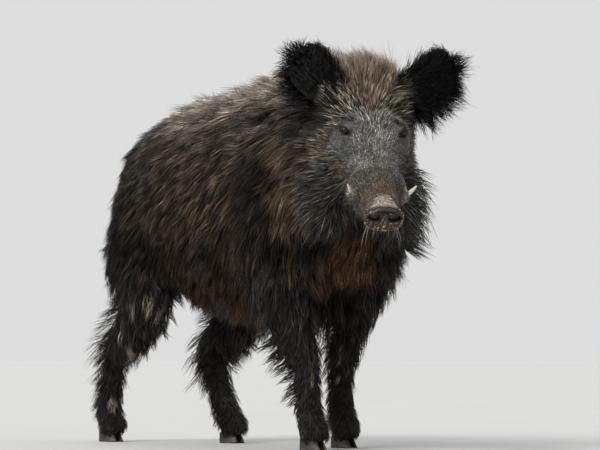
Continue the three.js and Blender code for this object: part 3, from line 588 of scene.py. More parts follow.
def biggest(V, T):
    """Keeps the largest connected surface."""
    lab = np.arange(len(V))
    E = np.concatenate([T[:, [0, 1]], T[:, [1, 2]]])
    while True:
        m = np.minimum(lab[E[:, 0]], lab[E[:, 1]])
        new = lab.copy()
        np.minimum.at(new, E[:, 0], m)
        np.minimum.at(new, E[:, 1], m)
        new = new[new]
        if (new == lab).all():
            break
        lab = new
    names, count = np.unique(lab, return_counts=True)
    keep = lab == names[count.argmax()]
    T = T[keep[T[:, 0]]]
    new = np.cumsum(keep) - 1
    return V[keep], new[T]


V, T = biggest(V, T)
V = settle(V, skin, 2)
V = settle(relax(V, T, np.ones(len(V), bool), 2, 0.4), skin, 1)
V, T = finer(V, T, wanted, skin)
fine = eye_gap(V) < 40
V = np.where(fine[:, None], relax(V, T, fine, 1, 0.35), V)
V = settle(V, skin, 2)
stamp(f"skin {len(V)} vertices {len(T)} triangles")

# where the frame stands: the centre of the left eye ties the two together
_lo, _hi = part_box("eye_left")
SHIFT = np.array((_lo + _hi) / 2) - from_head(EYE_AT) / 1000


def metres(p):
    return np.asarray(p) / 1000 + SHIFT


# =====================================================================================================================
# Meshes
# =====================================================================================================================
def mesh_object(name, verts, faces, uv=None, tint=None, extra=None, even=True):
    """faces: one array of triangles or of quads. uv per vertex or per corner; tint is a colour per vertex."""
    me = bpy.data.meshes.new(name)
    faces = np.asarray(faces)
    k = faces.shape[1]
    me.vertices.add(len(verts))
    me.vertices.foreach_set("co", np.asarray(verts, np.float32).ravel())
    me.loops.add(faces.size)
    me.loops.foreach_set("vertex_index", faces.astype(np.int32).ravel())
    me.polygons.add(len(faces))
    me.polygons.foreach_set("loop_start", np.arange(0, faces.size, k, dtype=np.int32))
    me.polygons.foreach_set("use_smooth", np.full(len(faces), even))
    if uv is not None:
        if len(uv) != faces.size:
            uv = uv[faces.ravel()]
        layer = me.uv_layers.new(name="OFBake")
        layer.data.foreach_set("uv", np.asarray(uv, np.float32).ravel())
    for label, col in (("tint", tint), *((extra or {}).items())):
        if col is not None:
            c = np.ones((len(verts), 4), np.float32)
            c[:, :3] = col
            me.color_attributes.new(label, "FLOAT_COLOR", "POINT").data.foreach_set("color", c.ravel())
    me.update(calc_edges=True)
    o = bpy.data.objects.new(name, me)
    bpy.context.scene.collection.objects.link(o)
    return o


# ------------------------------------------------------------------------------------------------ unwrap of the skin
def part_fields(p):
    q = to_head(p)
    f = [torso(p)]
    for k in ("fr", "fl", "hr", "hl", "tail"):
        d = np.full(len(p), 300.0)
        m = LOFTS[k].near(p, 110)
        if m.any():
            d[m] = LOFTS[k](p[m])
        f.append(d)
    d = np.full(len(p), 300.0)
    m = LOFTS["head"].near(q, 130)
    d[m] = head_field(q[m], True)
    f.append(d)
    f += [ear(q, 1), ear(q, -1)]
    return np.array(f), q


def unwrap(V, T):
    """Charts by part and facing, laid side by side. Returns a place on the unit square for each corner."""
    c = V[T].mean(1)
    nrm = unit(np.cross(V[T[:, 1]] - V[T[:, 0]], V[T[:, 2]] - V[T[:, 0]]))
    f, q = part_fields(c)
    part = f.argmin(0)
    uv = np.zeros((len(T), 3, 2))
    charts = []
    for k in range(9):
        axes = {6: HEAD_AXES, 7: EAR_AXES[1] @ HEAD_AXES, 8: EAR_AXES[-1] @ HEAD_AXES}.get(k, np.eye(3))
        m = part == k
        n, pts = nrm[m] @ axes.T, V[T[m]] @ axes.T
        way = np.abs(n).argmax(1)
        sign = n[np.arange(len(n)), way] > 0
        where = np.flatnonzero(m)
        for a in range(3):
            for s in (True, False):
                w = (way == a) & (sign == s)
                if not w.any():
                    continue
                plane = pts[w][:, :, [(a + 1) % 3, (a + 2) % 3]]
                lo = plane.reshape(-1, 2).min(0)
                plane = plane - lo
                size = plane.reshape(-1, 2).max(0)
                if size[0] > size[1]:
                    plane, size = plane[..., ::-1], size[::-1]
                charts.append((where[w], plane, size))
    charts.sort(key=lambda c: -c[2][1])
    gap = 8.0
    side = 1800.0
    for _ in range(40):
        x = y = row = gap
        places = []
        for _, _, size in charts:
            if x + size[0] + gap > side:
                x, y, row = gap, y + row + gap, 0
            places.append((x, y))
            x += size[0] + gap
            row = max(row, size[1])
        if y + row + gap < side:
            break
        side *= 1.03
    for (where, plane, _), (x, y) in zip(charts, places):
        uv[where] = (plane + np.array([x, y])) / side
    return uv


UV = unwrap(V, T)
stamp("unwrap")

# =====================================================================================================================
# The coat: palettes, and how the hair lies
# =====================================================================================================================
def lin(c):
    c = np.asarray(c, float) / 255
    return np.where(c <= 0.04045, c / 12.92, ((c + 0.055) / 1.055) ** 2.4)


# Each palette: root, middle and tip of a hair, the share of hairs with a light tip, and where the tip starts.
PALETTE = {
    "crest": ((22, 19, 17), (114, 105, 96), (190, 180, 167), 0.62, 0.40),
    "shoulder": ((9, 8, 7), (41, 36, 32), (132, 118, 102), 0.36, 0.46),
    "shoulder_low": ((8, 7, 6), (24, 21, 18), (84, 74, 64), 0.30, 0.50),
    "flank": ((10, 8, 7), (36, 31, 26), (148, 126, 104), 0.42, 0.44),
    "flank_low": ((9, 7, 5), (30, 24, 19), (112, 92, 74), 0.34, 0.48),
    "rump": ((9, 8, 7), (30, 27, 24), (122, 108, 93), 0.36, 0.48),
    "thigh": ((8, 7, 6), (24, 21, 20), (84, 76, 70), 0.26, 0.52),
    "belly": ((15, 10, 7), (46, 31, 21), (102, 73, 49), 0.42, 0.46),
    "ruff": ((18, 14, 11), (82, 67, 55), (152, 131, 110), 0.55, 0.38),
    "chest": ((19, 12, 8), (74, 51, 36), (146, 110, 80), 0.44, 0.46),
    "leg": ((12, 11, 10), (42, 40, 38), (92, 88, 84), 0.30, 0.52),
    "leg_in": ((9, 7, 6), (27, 20, 17), (68, 54, 45), 0.26, 0.52),
    "cheek": ((20, 17, 15), (81, 73, 64), (156, 140, 121), 0.44, 0.40),
    "jowl": ((12, 12, 11), (50, 50, 47), (104, 104, 103), 0.36, 0.42),
    "dark": ((6, 5, 5), (19, 18, 17), (64, 62, 60), 0.22, 0.50),
    "dome": ((54, 43, 34), (116, 98, 81), (154, 138, 120), 0.50, 0.45),
    "left_brow": ((10, 9, 8), (36, 33, 29), (220, 211, 188), 0.60, 0.46),
    # over the eye: dark hair, with the brow's shadow painted into it
    "over_eye": ((6, 6, 6), (24, 24, 24), (104, 103, 100), 0.26, 0.48),
    "dome_top": ((40, 35, 30), (118, 108, 98), (182, 173, 162), 0.56, 0.42),
    "brow": ((8, 8, 7), (26, 24, 21), (226, 220, 201), 0.48, 0.52),
    "between": ((15, 15, 15), (65, 65, 64), (222, 221, 216), 0.52, 0.46),
    "bridge": ((20, 19, 18), (86, 84, 81), (182, 180, 175), 0.44, 0.42),
    "muzzle": ((18, 16, 15), (64, 60, 55), (144, 137, 128), 0.40, 0.42),
    "muzzle_low": ((20, 16, 13), (72, 62, 54), (140, 127, 113), 0.40, 0.42),
    "rust": ((31, 19, 13), (90, 60, 43), (142, 109, 84), 0.38, 0.42),
    "lip": ((60, 54, 50), (136, 130, 124), (196, 192, 186), 0.50, 0.30),
    "under_eye": ((42, 42, 42), (97, 97, 96), (140, 140, 138), 0.40, 0.42),
    "eye_rim": ((8, 7, 6), (12, 11, 10), (26, 24, 22), 0.10, 0.60),
    "ear": ((3, 3, 3), (6, 6, 6), (54, 53, 54), 0.28, 0.50),
    "ear_in": ((12, 10, 9), (24, 21, 18), (60, 54, 47), 0.30, 0.50),
    "nose": ((64, 57, 52), (128, 120, 113), (186, 178, 171), 0.34, 0.40),
    "tail": ((9, 8, 7), (23, 20, 18), (60, 54, 48), 0.22, 0.56),
}
NAMES = list(PALETTE)
PAL_RGB = np.array([[lin(c) for c in PALETTE[k][:3]] for k in NAMES])
PAL_TIP = np.array([PALETTE[k][3:] for k in NAMES])

# The lie of the coat. Body rows: x from the body's middle, f, z; direction; length, lift in degrees, width, palette.
BODY_GUIDES = [
    ((0, 520, 850), (0, -1, .3), 54, 31, 2.6, "dome_top"),
    ((0, 440, 865), (0, -1, .2), 60, 18, 2.8, "crest"),
    ((0, 330, 858), (0, -1, 0), 72, 15, 3.0, "crest"),
    ((0, 150, 842), (0, -1, 0), 74, 15, 3.1, "crest"),
    ((0, -50, 822), (0, -1, 0), 66, 12, 3.1, "crest"),
    ((0, -240, 800), (0, -1, -.05), 58, 11, 3.1, "crest"),
    ((0, -400, 745), (0, -.9, -.5), 54, 11, 3.1, "rump"),
    ((0, -500, 650), (0, -.4, -1), 56, 22, 3.1, "rump"),
    ((0, -520, 540), (0, -.2, -1), 60, 30, 3.1, "rump"),
    ((0, -470, 430), (0, -.1, -1), 60, 32, 3.1, "thigh"),
    ((95, 340, 830), (.05, -1, -.15), 66, 15, 3.0, "crest"),
    ((100, 130, 810), (0, -1, -.22), 60, 13, 3.1, "crest"),
    ((95, -80, 785), (0, -1, -.28), 58, 12, 3.1, "crest"),
    ((85, -280, 745), (0, -1, -.4), 54, 12, 3.1, "rump"),
    ((160, 330, 740), (0, -.9, -.5), 58, 14, 3.1, "shoulder"),
    ((165, 130, 720), (0, -.9, -.5), 56, 13, 3.1, "shoulder"),
    ((155, -80, 700), (0, -.9, -.55), 54, 12, 3.1, "flank"),
    ((138, -280, 680), (0, -.85, -.6), 52, 12, 3.1, "rump"),
    ((90, -430, 640), (0, -.5, -.9), 50, 14, 3.1, "rump"),
    ((184, 330, 600), (0, -.6, -.85), 54, 14, 3.1, "shoulder_low"),
    ((176, 385, 640), (.05, -.55, -.85), 58, 16, 3.0, "shoulder_low"),
    ((176, 382, 560), (.05, -.4, -.95), 58, 16, 3.0, "shoulder_low"),
    ((165, 380, 740), (.05, -.8, -.5), 58, 16, 3.0, "shoulder"),
    ((186, 140, 580), (0, -.75, -.75), 56, 13, 3.1, "flank"),
    ((176, -60, 580), (0, -.75, -.75), 56, 13, 3.1, "flank"),
    ((152, -270, 570), (0, -.6, -.9), 52, 13, 3.1, "rump"),
    ((105, -430, 540), (0, -.4, -1), 52, 18, 3.1, "thigh"),
    ((172, 330, 470), (0, -.3, -1), 56, 16, 3.1, "shoulder_low"),
    ((160, 385, 470), (.05, -.2, -1), 58, 18, 3.0, "shoulder_low"),
    ((172, 150, 440), (0, -.55, -1), 60, 15, 3.1, "flank_low"),
    ((165, -40, 440), (0, -.6, -1), 60, 15, 3.1, "flank_low"),
    ((150, -200, 430), (0, -.45, -1), 56, 16, 3.1, "flank_low"),
    ((110, 130, 350), (.1, -.6, -1), 60, 34, 3.1, "belly"),
    ((110, -80, 355), (.1, -.6, -1), 60, 36, 3.1, "belly"),
    ((0, 250, 335), (0, -.8, -.7), 62, 46, 3.0, "belly"),
    ((0, 50, 320), (0, -.8, -.7), 62, 48, 3.0, "belly"),
    ((0, -150, 350), (0, -.8, -.7), 58, 46, 3.0, "belly"),
    ((0, -320, 410), (0, -1, -.4), 44, 24, 3.2, "belly"),
    ((145, 440, 650), (.15, -.5, -.9), 64, 20, 2.8, "ruff"),
    ((158, 425, 590), (.1, -.35, -1), 64, 20, 2.8, "ruff"),
    ((120, 490, 740), (.25, -.9, -.35), 62, 20, 2.8, "shoulder"),
    ((150, 420, 520), (.1, -.25, -1), 62, 22, 3.0, "ruff"),
    ((95, 470, 560), (.3, -.1, -1), 80, 36, 3.0, "dark"),
    ((112, 448, 470), (.45, 0, -1), 96, 46, 2.8, "dark"),
    ((100, 498, 556), (.6, .1, -1), 104, 56, 2.8, "dark"),
    ((0, 490, 500), (0, 0, -1), 70, 30, 3.1, "chest"),
    ((0, 440, 400), (0, .05, -1), 66, 34, 3.1, "chest"),
    ((95, 420, 420), (.2, 0, -1), 70, 32, 3.1, "chest"),
    ((0, 360, 345), (0, -.4, -1), 58, 34, 3.1, "belly"),
    ((75, 530, 620), (.3, -.2, -1), 68, 32, 2.8, "dark"),
    ((0, 560, 590), (0, -.1, -1), 62, 34, 2.9, "dark"),
]
# Head rows: v, s, u; direction in the same frame; length, lift, width, palette.
HEAD_GUIDES = [
    ((0, 50, 42), (0, 1, .05), 5, 8, .9, "rust"),
    ((24, 45, 32), (.2, 1, 0), 4, 8, .9, "muzzle_low"),
    ((0, 80, 47), (0, 1, .05), 8, 10, .9, "muzzle_low"),
    ((16, 66, 44), (.1, 1, .05), 7, 10, .9, "muzzle"),
    ((0, 108, 51), (.0, 1, .05), 9, 11, 1.0, "muzzle_low"),
    ((26, 100, 44), (.25, 1, 0), 9, 11, 1.0, "muzzle"),
    ((0, 145, 57), (0, 1, .08), 8, 12, 1.0, "bridge"),
    ((30, 150, 52), (.3, 1, .05), 8, 12, 1.0, "bridge"),
    ((0, 185, 66), (0, 1, .1), 9, 14, 1.05, "bridge"),
    ((34, 190, 62), (.35, 1, .1), 9, 13, 1.05, "bridge"),
    ((0, 220, 74), (0, 1, .2), 11, 16, 1.1, "bridge"),
    ((30, 228, 76), (.4, 1, .2), 10, 16, 1.1, "bridge"),
    ((0, 250, 82), (0, 1, .4), 14, 26, 1.15, "between"),
    ((30, 258, 86), (.45, 1, .4), 14, 26, 1.1, "bridge"),
    ((0, 282, 92), (0, .9, .6), 18, 32, 1.2, "between"),
    ((26, 290, 95), (.45, .8, .6), 18, 32, 1.1, "between"),
    ((28, 306, 99), (.45, .8, .6), 20, 34, 1.1, "brow"),
    ((46, 292, 95), (.7, .75, .5), 21, 34, 1.1, "brow"),
    ((64, 290, 82), (1, .6, .35), 22, 34, 1.15, "brow"),
    ((74, 308, 76), (1, .6, .3), 24, 34, 1.15, "brow"),
    ((76, 330, 92), (.9, .7, .4), 26, 34, 1.15, "brow"),
    ((80, 300, 55), (1, .6, .0), 20, 30, 1.3, "cheek"),
    ((0, 318, 104), (0, .8, .7), 24, 36, 1.2, "dome"),
    ((30, 326, 104), (.4, .8, .6), 26, 36, 1.2, "brow"),
    ((58, 330, 98), (.8, .7, .5), 27, 36, 1.2, "brow"),
    ((92, 326, 58), (.9, .7, .0), 32, 28, 1.3, "dark"),
    ((112, 400, 40), (.6, .8, -.6), 50, 28, 2.0, "dark"),
    ((112, 398, 76), (.7, .8, -.2), 46, 26, 1.9, "dark"),
    ((108, 420, 0), (.5, .8, -.8), 52, 26, 2.1, "dark"),
    ((94, 356, 62), (.9, .7, .0), 36, 28, 1.4, "dark"),
    ((0, 350, 112), (0, .8, .8), 28, 38, 0.95, "dome"),
    ((34, 362, 112), (.3, .8, .7), 29, 38, 0.95, "dome"),
    ((0, 390, 116), (0, .8, .8), 43, 44, 0.95, "dome"),
    ((30, 405, 112), (.25, .8, .8), 42, 43, 1.0, "dome"),
    ((46, 398, 108), (.4, .8, .8), 44, 43, 1.0, "dome"),
    ((66, 368, 98), (.6, .8, .6), 34, 38, 1.05, "brow"),
    ((58, 432, 100), (.4, .7, .9), 55, 48, 1.1, "dome_top"),
    ((0, 440, 108), (0, .9, .8), 55, 44, 1.4, "dome_top"),
    ((62, 232, 92), (.5, 1, .1), 5, 10, .9, "under_eye"),
    ((46, 240, 88), (.4, 1, .2), 6, 12, 1.0, "under_eye"),
    # over the eye: dark hair with the brow's painted shadow
    ((62, 268, 92), (.8, .8, .3), 9, 18, 1.1, "over_eye"),
    ((78, 270, 74), (.9, .7, .1), 10, 18, 1.1, "over_eye"),
    ((46, 268, 92), (.6, .8, .4), 11, 20, 1.1, "over_eye"),
    ((64, 218, 52), (.5, 1, -.3), 6, 9, .9, "under_eye"),
    ((74, 240, 44), (.5, 1, -.4), 7, 10, 1.0, "under_eye"),
    ((80, 262, 56), (.6, 1, -.2), 8, 12, 1.0, "under_eye"),
    ((54, 190, 36), (.3, 1, -.2), 8, 11, 1.0, "bridge"),
    ((50, 160, 22), (.2, 1, -.2), 8, 12, 1.0, "muzzle"),
    ((44, 110, 22), (.2, 1, -.1), 8, 11, 1.0, "muzzle"),
    ((38, 70, 12), (.15, 1, -.1), 5, 10, .9, "muzzle_low"),
    ((38, 40, 0), (.15, 1, -.1), 3.5, 9, .9, "muzzle_low"),
    ((42, 75, -14), (.1, 1, -.25), 7, 12, 1.0, "muzzle"),
    ((50, 125, -16), (.1, 1, -.3), 8, 13, 1.0, "muzzle"),
    ((50, 160, -20), (.1, 1, -.4), 13, 15, 1.2, "muzzle"),
    ((58, 200, 0), (.2, 1, -.4), 14, 15, 1.2, "muzzle"),
    ((74, 240, 5), (.4, 1, -.4), 18, 18, 1.4, "cheek"),
    ((88, 285, 15), (.7, .9, -.3), 24, 22, 1.6, "cheek"),
    ((96, 320, -5), (.7, .9, -.4), 30, 24, 1.8, "cheek"),
    ((96, 345, 30), (.8, .8, -.1), 34, 24, 1.8, "dark"),
    ((90, 370, -20), (.5, .8, -.6), 46, 26, 2.2, "dark"),
    ((80, 390, 30), (.6, .8, -.1), 44, 24, 2.1, "dark"),
    ((60, 210, -50), (.3, 1, -.6), 24, 24, 1.5, "jowl"),
    ((92, 260, -40), (.4, .8, -.7), 36, 26, 1.7, "jowl"),
    ((112, 300, -70), (.4, .5, -1), 50, 30, 1.9, "jowl"),
    ((108, 350, -80), (.5, .5, -1), 54, 30, 2.1, "jowl"),
    ((112, 300, -130), (.5, .3, -1), 60, 36, 2.0, "jowl"),
    ((-126, 318, -128), (-.4, .3, -1), 58, 30, 1.9, "ruff"),
    ((-122, 340, -80), (-.4, .4, -1), 54, 28, 1.9, "ruff"),
    ((-118, 348, -30), (-.4, .5, -1), 50, 26, 1.9, "ruff"),
    ((-118, 318, -170), (-.4, .2, -1), 60, 32, 2.0, "ruff"),
    ((70, 290, -186), (.4, .3, -1), 58, 36, 2.2, "dark"),
    ((45, 120, -48), (.1, 1, -.5), 14, 18, 1.2, "jowl"),

    ((34, 60, -42), (.1, 1, -.5), 9, 16, 1.0, "muzzle_low"),
    ((0, 30, -36), (0, .8, -1), 9, 30, 1.0, "muzzle_low"),
    ((0, 80, -55), (0, 1, -.8), 18, 34, 1.1, "jowl"),
    ((0, 150, -76), (0, 1, -.8), 28, 34, 1.5, "jowl"),
    ((0, 230, -98), (0, .9, -.9), 38, 34, 1.9, "jowl"),
    ((0, 320, -112), (0, .7, -1), 54, 36, 2.3, "dark"),
]
HEAD_LEFT = [  # the far side of the brow, on the boar's left only
    ((92, 320, 78), (1, .6, .2), 30, 42, 1.15, "left_brow"),
    ((86, 346, 92), (1, .7, .3), 30, 40, 1.1, "left_brow"),
    ((84, 298, 66), (1, .6, .1), 22, 36, 1.2, "left_brow"),
]
LEG_LENGTH = {  # height: length, lift in front and at the sides, lift behind, factor behind
    "fr": [(450, 60, 16, 30, 1.2), (380, 60, 18, 40, 1.4), (300, 54, 18, 50, 1.7), (240, 44, 17, 48, 1.8), (180, 34, 16, 34, 1.5), (120, 27, 17, 30, 1.3), (75, 26, 18, 30, 1.3), (48, 26, 20, 24, 1.1)],
    "hr": [(480, 56, 15, 28, 1.2), (400, 54, 18, 36, 1.35), (320, 50, 24, 42, 1.45), (250, 50, 32, 44, 1.5), (180, 42, 26, 42, 1.5), (120, 32, 19, 42, 1.5), (80, 28, 18, 42, 1.5), (48, 26, 20, 26, 1.1)],
    "hl": [(480, 56, 15, 28, 1.2), (400, 54, 20, 36, 1.35), (320, 56, 32, 42, 1.45), (250, 60, 42, 44, 1.5), (200, 52, 38, 42, 1.5), (150, 40, 26, 40, 1.5), (110, 32, 19, 40, 1.5), (80, 28, 18, 40, 1.5), (48, 26, 20, 26, 1.1)],
}
LEG_LENGTH["fl"] = LEG_LENGTH["fr"]


# Dried mud caught in the coat: x, f, z, radius.
MUD = [
    (-146, -225, 333, 8), (-147, -232, 315, 8), (-124, -228, 296, 8), (-104, -230, 284, 7), (-119, -205, 327, 6), (-100, -217, 302, 8),
    (-114, -374, 213, 9), (-154, -354, 256, 7), (-107, -482, 88, 7), (-95, -479, 83, 7), (-137, -262, 341, 6), (-151, -300, 316, 6),
    (85, 245, 201, 5), (86, 246, 232, 5), (110, 263, 258, 5), (80, 244, 159, 4.5), (-75, 372, 161, 5),
]


def middle(f):
    """The body's middle line: its x at a place along it."""
    return np.interp(-f, TORSO_ROWS[:, 1], TORSO_ROWS[:, 0])


def guides():
    rows = []
    for (x, f, z), (dx, df, dz), L, lift, w, pal in BODY_GUIDES:
        for s in ((1, -1) if x else (1,)):
            rows.append([x * s + middle(f), -f, z, dx * s, -df, dz, L * 0.97, lift + 7 * (lift < 22), w, NAMES.index(pal)])
    for (v, s0, u), (dv, ds, du), L, lift, w, pal in HEAD_GUIDES + HEAD_LEFT:
        for s in ((1, -1) if v > 0 and pal != "left_brow" else (1,)):
            p, d = from_head((v * s, s0, u)), np.array([dv * s, ds, du]) @ HEAD_AXES
            full = s * v > 66 and u < -60             # the far jowl stands out fullest
            name = "jowl" if pal == "cheek" and s * v > 0 and u < 50 else pal
            rows.append([*p, *d, L * (1.08 if pal == "jowl" else 0.86 if pal == "brow" else 1) * (1.10 if full else 1), lift + 4 * (pal == "jowl") + 11 * full, w, NAMES.index(name)])
    for k, table in LEG_LENGTH.items():
        rows_z = catmull(LEGS[k], 6)
        order = np.argsort(rows_z[:, 2])
        at = lambda z, i: np.interp(z, rows_z[order, 2], rows_z[order, i])
        for z, L, lift, behind, more in table:
            x, f, w, fr, re = (at(z, i) for i in (0, 1, 3, 4, 5))
            pal = "thigh" if z > 400 and k[0] == "h" else "shoulder" if z > 420 else "leg"
            i, inner = NAMES.index(pal), NAMES.index("leg_in")
            wide = 2.9 if z > 260 else 2.2 if z > 100 else 1.7
            rows.append([x, -f - fr, z, 0, .05, -1, L, lift, wide, i])
            rows.append([x + w, -f, z, .03, .25, -1, L, lift, wide, i if x > 0 else inner])
            rows.append([x - w, -f, z, -.03, .25, -1, L, lift, wide, i if x < 0 else inner])
            rows.append([x, -f + re, z, 0, .5, -1, L * more, behind, wide, i])
    for x, f, z, L in ((0, -530, 665, 34), (4, -560, 600, 34), (8, -562, 520, 34), (13, -556, 450, 46), (16, -548, 400, 60)):
        for dx, df in ((14, 0), (-14, 0), (0, -14)):
            rows.append([x + dx, -f - df, z, dx / 60, -df / 60, -1, L, 14, 2.2, NAMES.index("tail")])
    return np.array(rows, float)


GUIDE = guides()
GUIDE[:, 3:6] = unit(GUIDE[:, 3:6])


def wave(p, length, seed):
    """A smooth random field between about -1 and 1."""
    g = np.random.default_rng(seed)
    k = unit(g.normal(size=(5, 3))) * 2 * np.pi / (length * g.uniform(0.75, 1.4, (5, 1)))
    return np.sin(p @ k.T + g.uniform(0, 6.28, 5)).sum(1) / 2.4


def lie(p):
    """Weights of the guides at p, and the blended direction, length, lift and width."""
    out = np.empty((len(p), 6))
    pal = np.empty((len(p), len(NAMES)))
    hot = np.zeros((len(GUIDE), len(NAMES)))
    hot[np.arange(len(GUIDE)), GUIDE[:, 9].astype(int)] = 1
    for i in range(0, len(p), 20000):
        c = p[i:i + 20000]
        d2 = ((c ** 2).sum(1)[:, None] + (GUIDE[:, :3] ** 2).sum(1)[None] - 2 * c @ GUIDE[:, :3].T)
        w = 1 / (np.maximum(d2, 0) + 90) ** 2
        w /= w.sum(1, keepdims=True)
        out[i:i + 20000] = w @ GUIDE[:, 3:9]
        pal[i:i + 20000] = w @ hot
    return out, pal


EAR_PAL, EAR_IN_PAL = NAMES.index("ear"), NAMES.index("ear_in")
NOSE_PAL, RIM_PAL, LIP_PAL = NAMES.index("nose"), NAMES.index("eye_rim"), NAMES.index("lip")


def coat_at(p, n):
    """Everything about the hair that grows at p, where the skin faces n."""
    out, pal = lie(p)
    D, L, lift, W = unit(out[:, :3]), out[:, 3].copy(), out[:, 4].copy(), out[:, 5].copy()
    f, q = part_fields(p)
    v, s, u = q.T
    bare = np.zeros(len(p))
    kind = np.zeros(len(p), int)                  # 0 body, 1 head, 2 ear, 3 leg, 4 tail
    rest = np.minimum(f[0], f[6])
    legs = f[1:5].min(0)
    kind[(legs < f[0] - 4) & (p[:, 2] < 400)] = 3
    kind[(f[5] < rest - 2)] = 4
    kind[(f[6] < f[0] + 6) & (f[6] < 60) & (s < 400)] = 1
    # ears: hair runs out along the ear and fans to its rim
    for side in (1, -1):
        d = f[7 if side == 1 else 8]
        l, w, o = ear_place(q, side).T
        inear = (d < 6) & (l > 6) & (d < rest - 1)
        k = np.clip((l - 6) / 26, 0, 1) * inear
        x = np.clip(l / EAR_LEN[side], 0, 1)
        half = ear_half(x, side)
        edge = np.clip(np.abs(w) / half, 0, 1.1)
        tip = smooth(x, 0.78, 1.0)
        rim = np.maximum(smooth(edge, 0.72, 1.0), tip)
        lat = smooth(-w * np.sign(EAR_AXES[side][1][2] or 1), -20, 20)   # the lower rim has the longest fringe
        fan = w / half
        ax = EAR_AXES[side] @ HEAD_AXES
        e = unit(ax[0] * (1.0 - 0.35 * rim)[:, None] + ax[1] * (fan * (0.35 + 0.75 * rim))[:, None])
        inside = (n @ ax[2]) > 0.15
        Le = np.where(inside, 20 + 10 * (1 - x), 18) + rim * ((20 if side > 0 else 16) + 34 * lat)
        li = np.where(inside, 14, 12) + rim * (20 + 26 * lat)
        K = k[:, None]
        D = unit(D * (1 - K) + e * K)
        L, lift, W = L * (1 - k) + Le * k, lift * (1 - k) + li * k, W * (1 - k) + 1.5 * k
        pal = pal * (1 - K)
        inner = np.where(inside, smooth(x, 0.50, 0.12) * smooth(edge, 0.85, 0.3) * 0.45, 0)
        pal[:, EAR_PAL] += k * (1 - inner)
        pal[:, EAR_IN_PAL] += k * inner
        kind[k > 0.3] = 2
    # near the eyes the hair is short, and the lids are bare and dark
    e = np.minimum(np.linalg.norm(q - EYES[1][0], axis=1), np.linalg.norm(q - EYES[-1][0], axis=1))
    L *= np.clip((e - 11) / 26, 0.3, 1)
    W *= np.clip((e - 8) / 22, 0.55, 1)
    bare = np.maximum(bare, 1 - smooth(e, 15.8, 17.6))
    for side in (1, -1):
        c, along, over, out = EYES[side]
        a = q - c
        ea, eo, ee = a @ along, a @ over, a @ out
        g = np.sqrt((np.abs(ea) / LID_LONG) ** 2 + (np.abs(eo) / np.where(eo > 0, LID_UP, LID_DOWN)) ** 1.7)
        k = ((1 - smooth(g, 1.2, 1.75 + 0.25 * (eo > 0))) * smooth(ee, 0, 5) * (np.linalg.norm(a, axis=1) < 30))[:, None]
        pal = pal * (1 - k)
        pal[:, RIM_PAL] += k[:, 0]
    # the bare nose behind the disc
    k = smooth(u, 14, 22) * (1 - smooth(s, 30, 40)) * (1 - smooth(np.abs(v) - np.interp(s, [8, 20, 36], [25, 21, 12]) + 2.5 * wave(p, 16, 41), -4, 5))
    bare = np.maximum(bare, smooth(k, 0.25, 0.6))
    bare = np.maximum(bare, 1 - smooth(s, 10, 15))
    pal = pal * (1 - k[:, None])
    pal[:, NOSE_PAL] += k
    # the pale fold of lip at the tusks
    for c, far in (((57, 104, 2), 23), ((-52, 106, 2), 19)):
        k = 0.85 * (1 - smooth(np.linalg.norm(q - np.array(c, float), axis=1) + 2 * wave(p, 12, 44), 8, far))
        L *= 1 - 0.5 * k
        pal = pal * (1 - k[:, None])
        pal[:, LIP_PAL] += k
    # the mouth's groove, and the feet
    k = (np.abs(u - mouth_line(s)) < 3.2) & (s < 148) & (np.abs(v) < 80)
    bare[k] = 1
    bare = np.maximum(bare, (p[:, 2] < 31) * 1.0)
    return D, L, lift, W, pal, kind, bare, q


def shade(pal, t, chance, dark):
    """Colour along a hair: t is (n, rings)."""
    root, mid, tip = (pal @ PAL_RGB[:, i] for i in range(3))
    start = (pal @ PAL_TIP[:, 1])[:, None]
    a = smooth(t, 0.0, 0.55)[..., None]
    b = (smooth(t ** 0.6, start - 0.05, start + 0.35) * chance[:, None])[..., None]
    c = root[:, None] * (1 - a) + mid[:, None] * a
    c = c * (1 - b) + tip[:, None] * b
    return c * dark[:, None, None]


# --------------------------------------------------------------------------------------------------- where hairs grow
area = np.linalg.norm(np.cross(V[T[:, 1]] - V[T[:, 0]], V[T[:, 2]] - V[T[:, 0]]), axis=1) / 2
cent = V[T].mean(1)
cnorm = unit(np.cross(V[T[:, 1]] - V[T[:, 0]], V[T[:, 2]] - V[T[:, 0]]))
D0, L0, F0, W0, P0, K0, B0, _ = coat_at(cent, cnorm)
need = 1 / (L0 * W0) * (1 - B0)
need = need * np.where(K0 == 2, 1 + 1.6 * smooth(L0, 28, 52), 1)
COUNT = {0: 73500, 1: 45000, 2: 10000, 3: 13000, 4: 1100}
SEGMENTS = {0: 2, 1: 2, 2: 2, 3: 2, 4: 3}
stamp("coat table: " + ", ".join(f"{k}: {area[K0 == k].sum() / 1e6:.3f} m2" for k in range(5)))


def sow(kind, count):
    w = area * need * (K0 == kind)
    c = np.cumsum(w)
    x = (np.arange(count) + RNG.random(count)) / count * c[-1]
    t = np.searchsorted(c, x)
    a, b = RNG.random(count), RNG.random(count)
    m = a + b > 1
    a[m], b[m] = 1 - a[m], 1 - b[m]
    bar = np.stack([1 - a - b, a, b], 1)[:, :, None]
    return (V[T[t]] * bar).sum(1), (UV[t] * bar).sum(1), t


PROFILE = {2: [0.80, 0.95, 0.0], 3: [0.70, 1.0, 0.72, 0.0], 4: [0.7, 1.0, 0.9, 0.6, 0.0]}


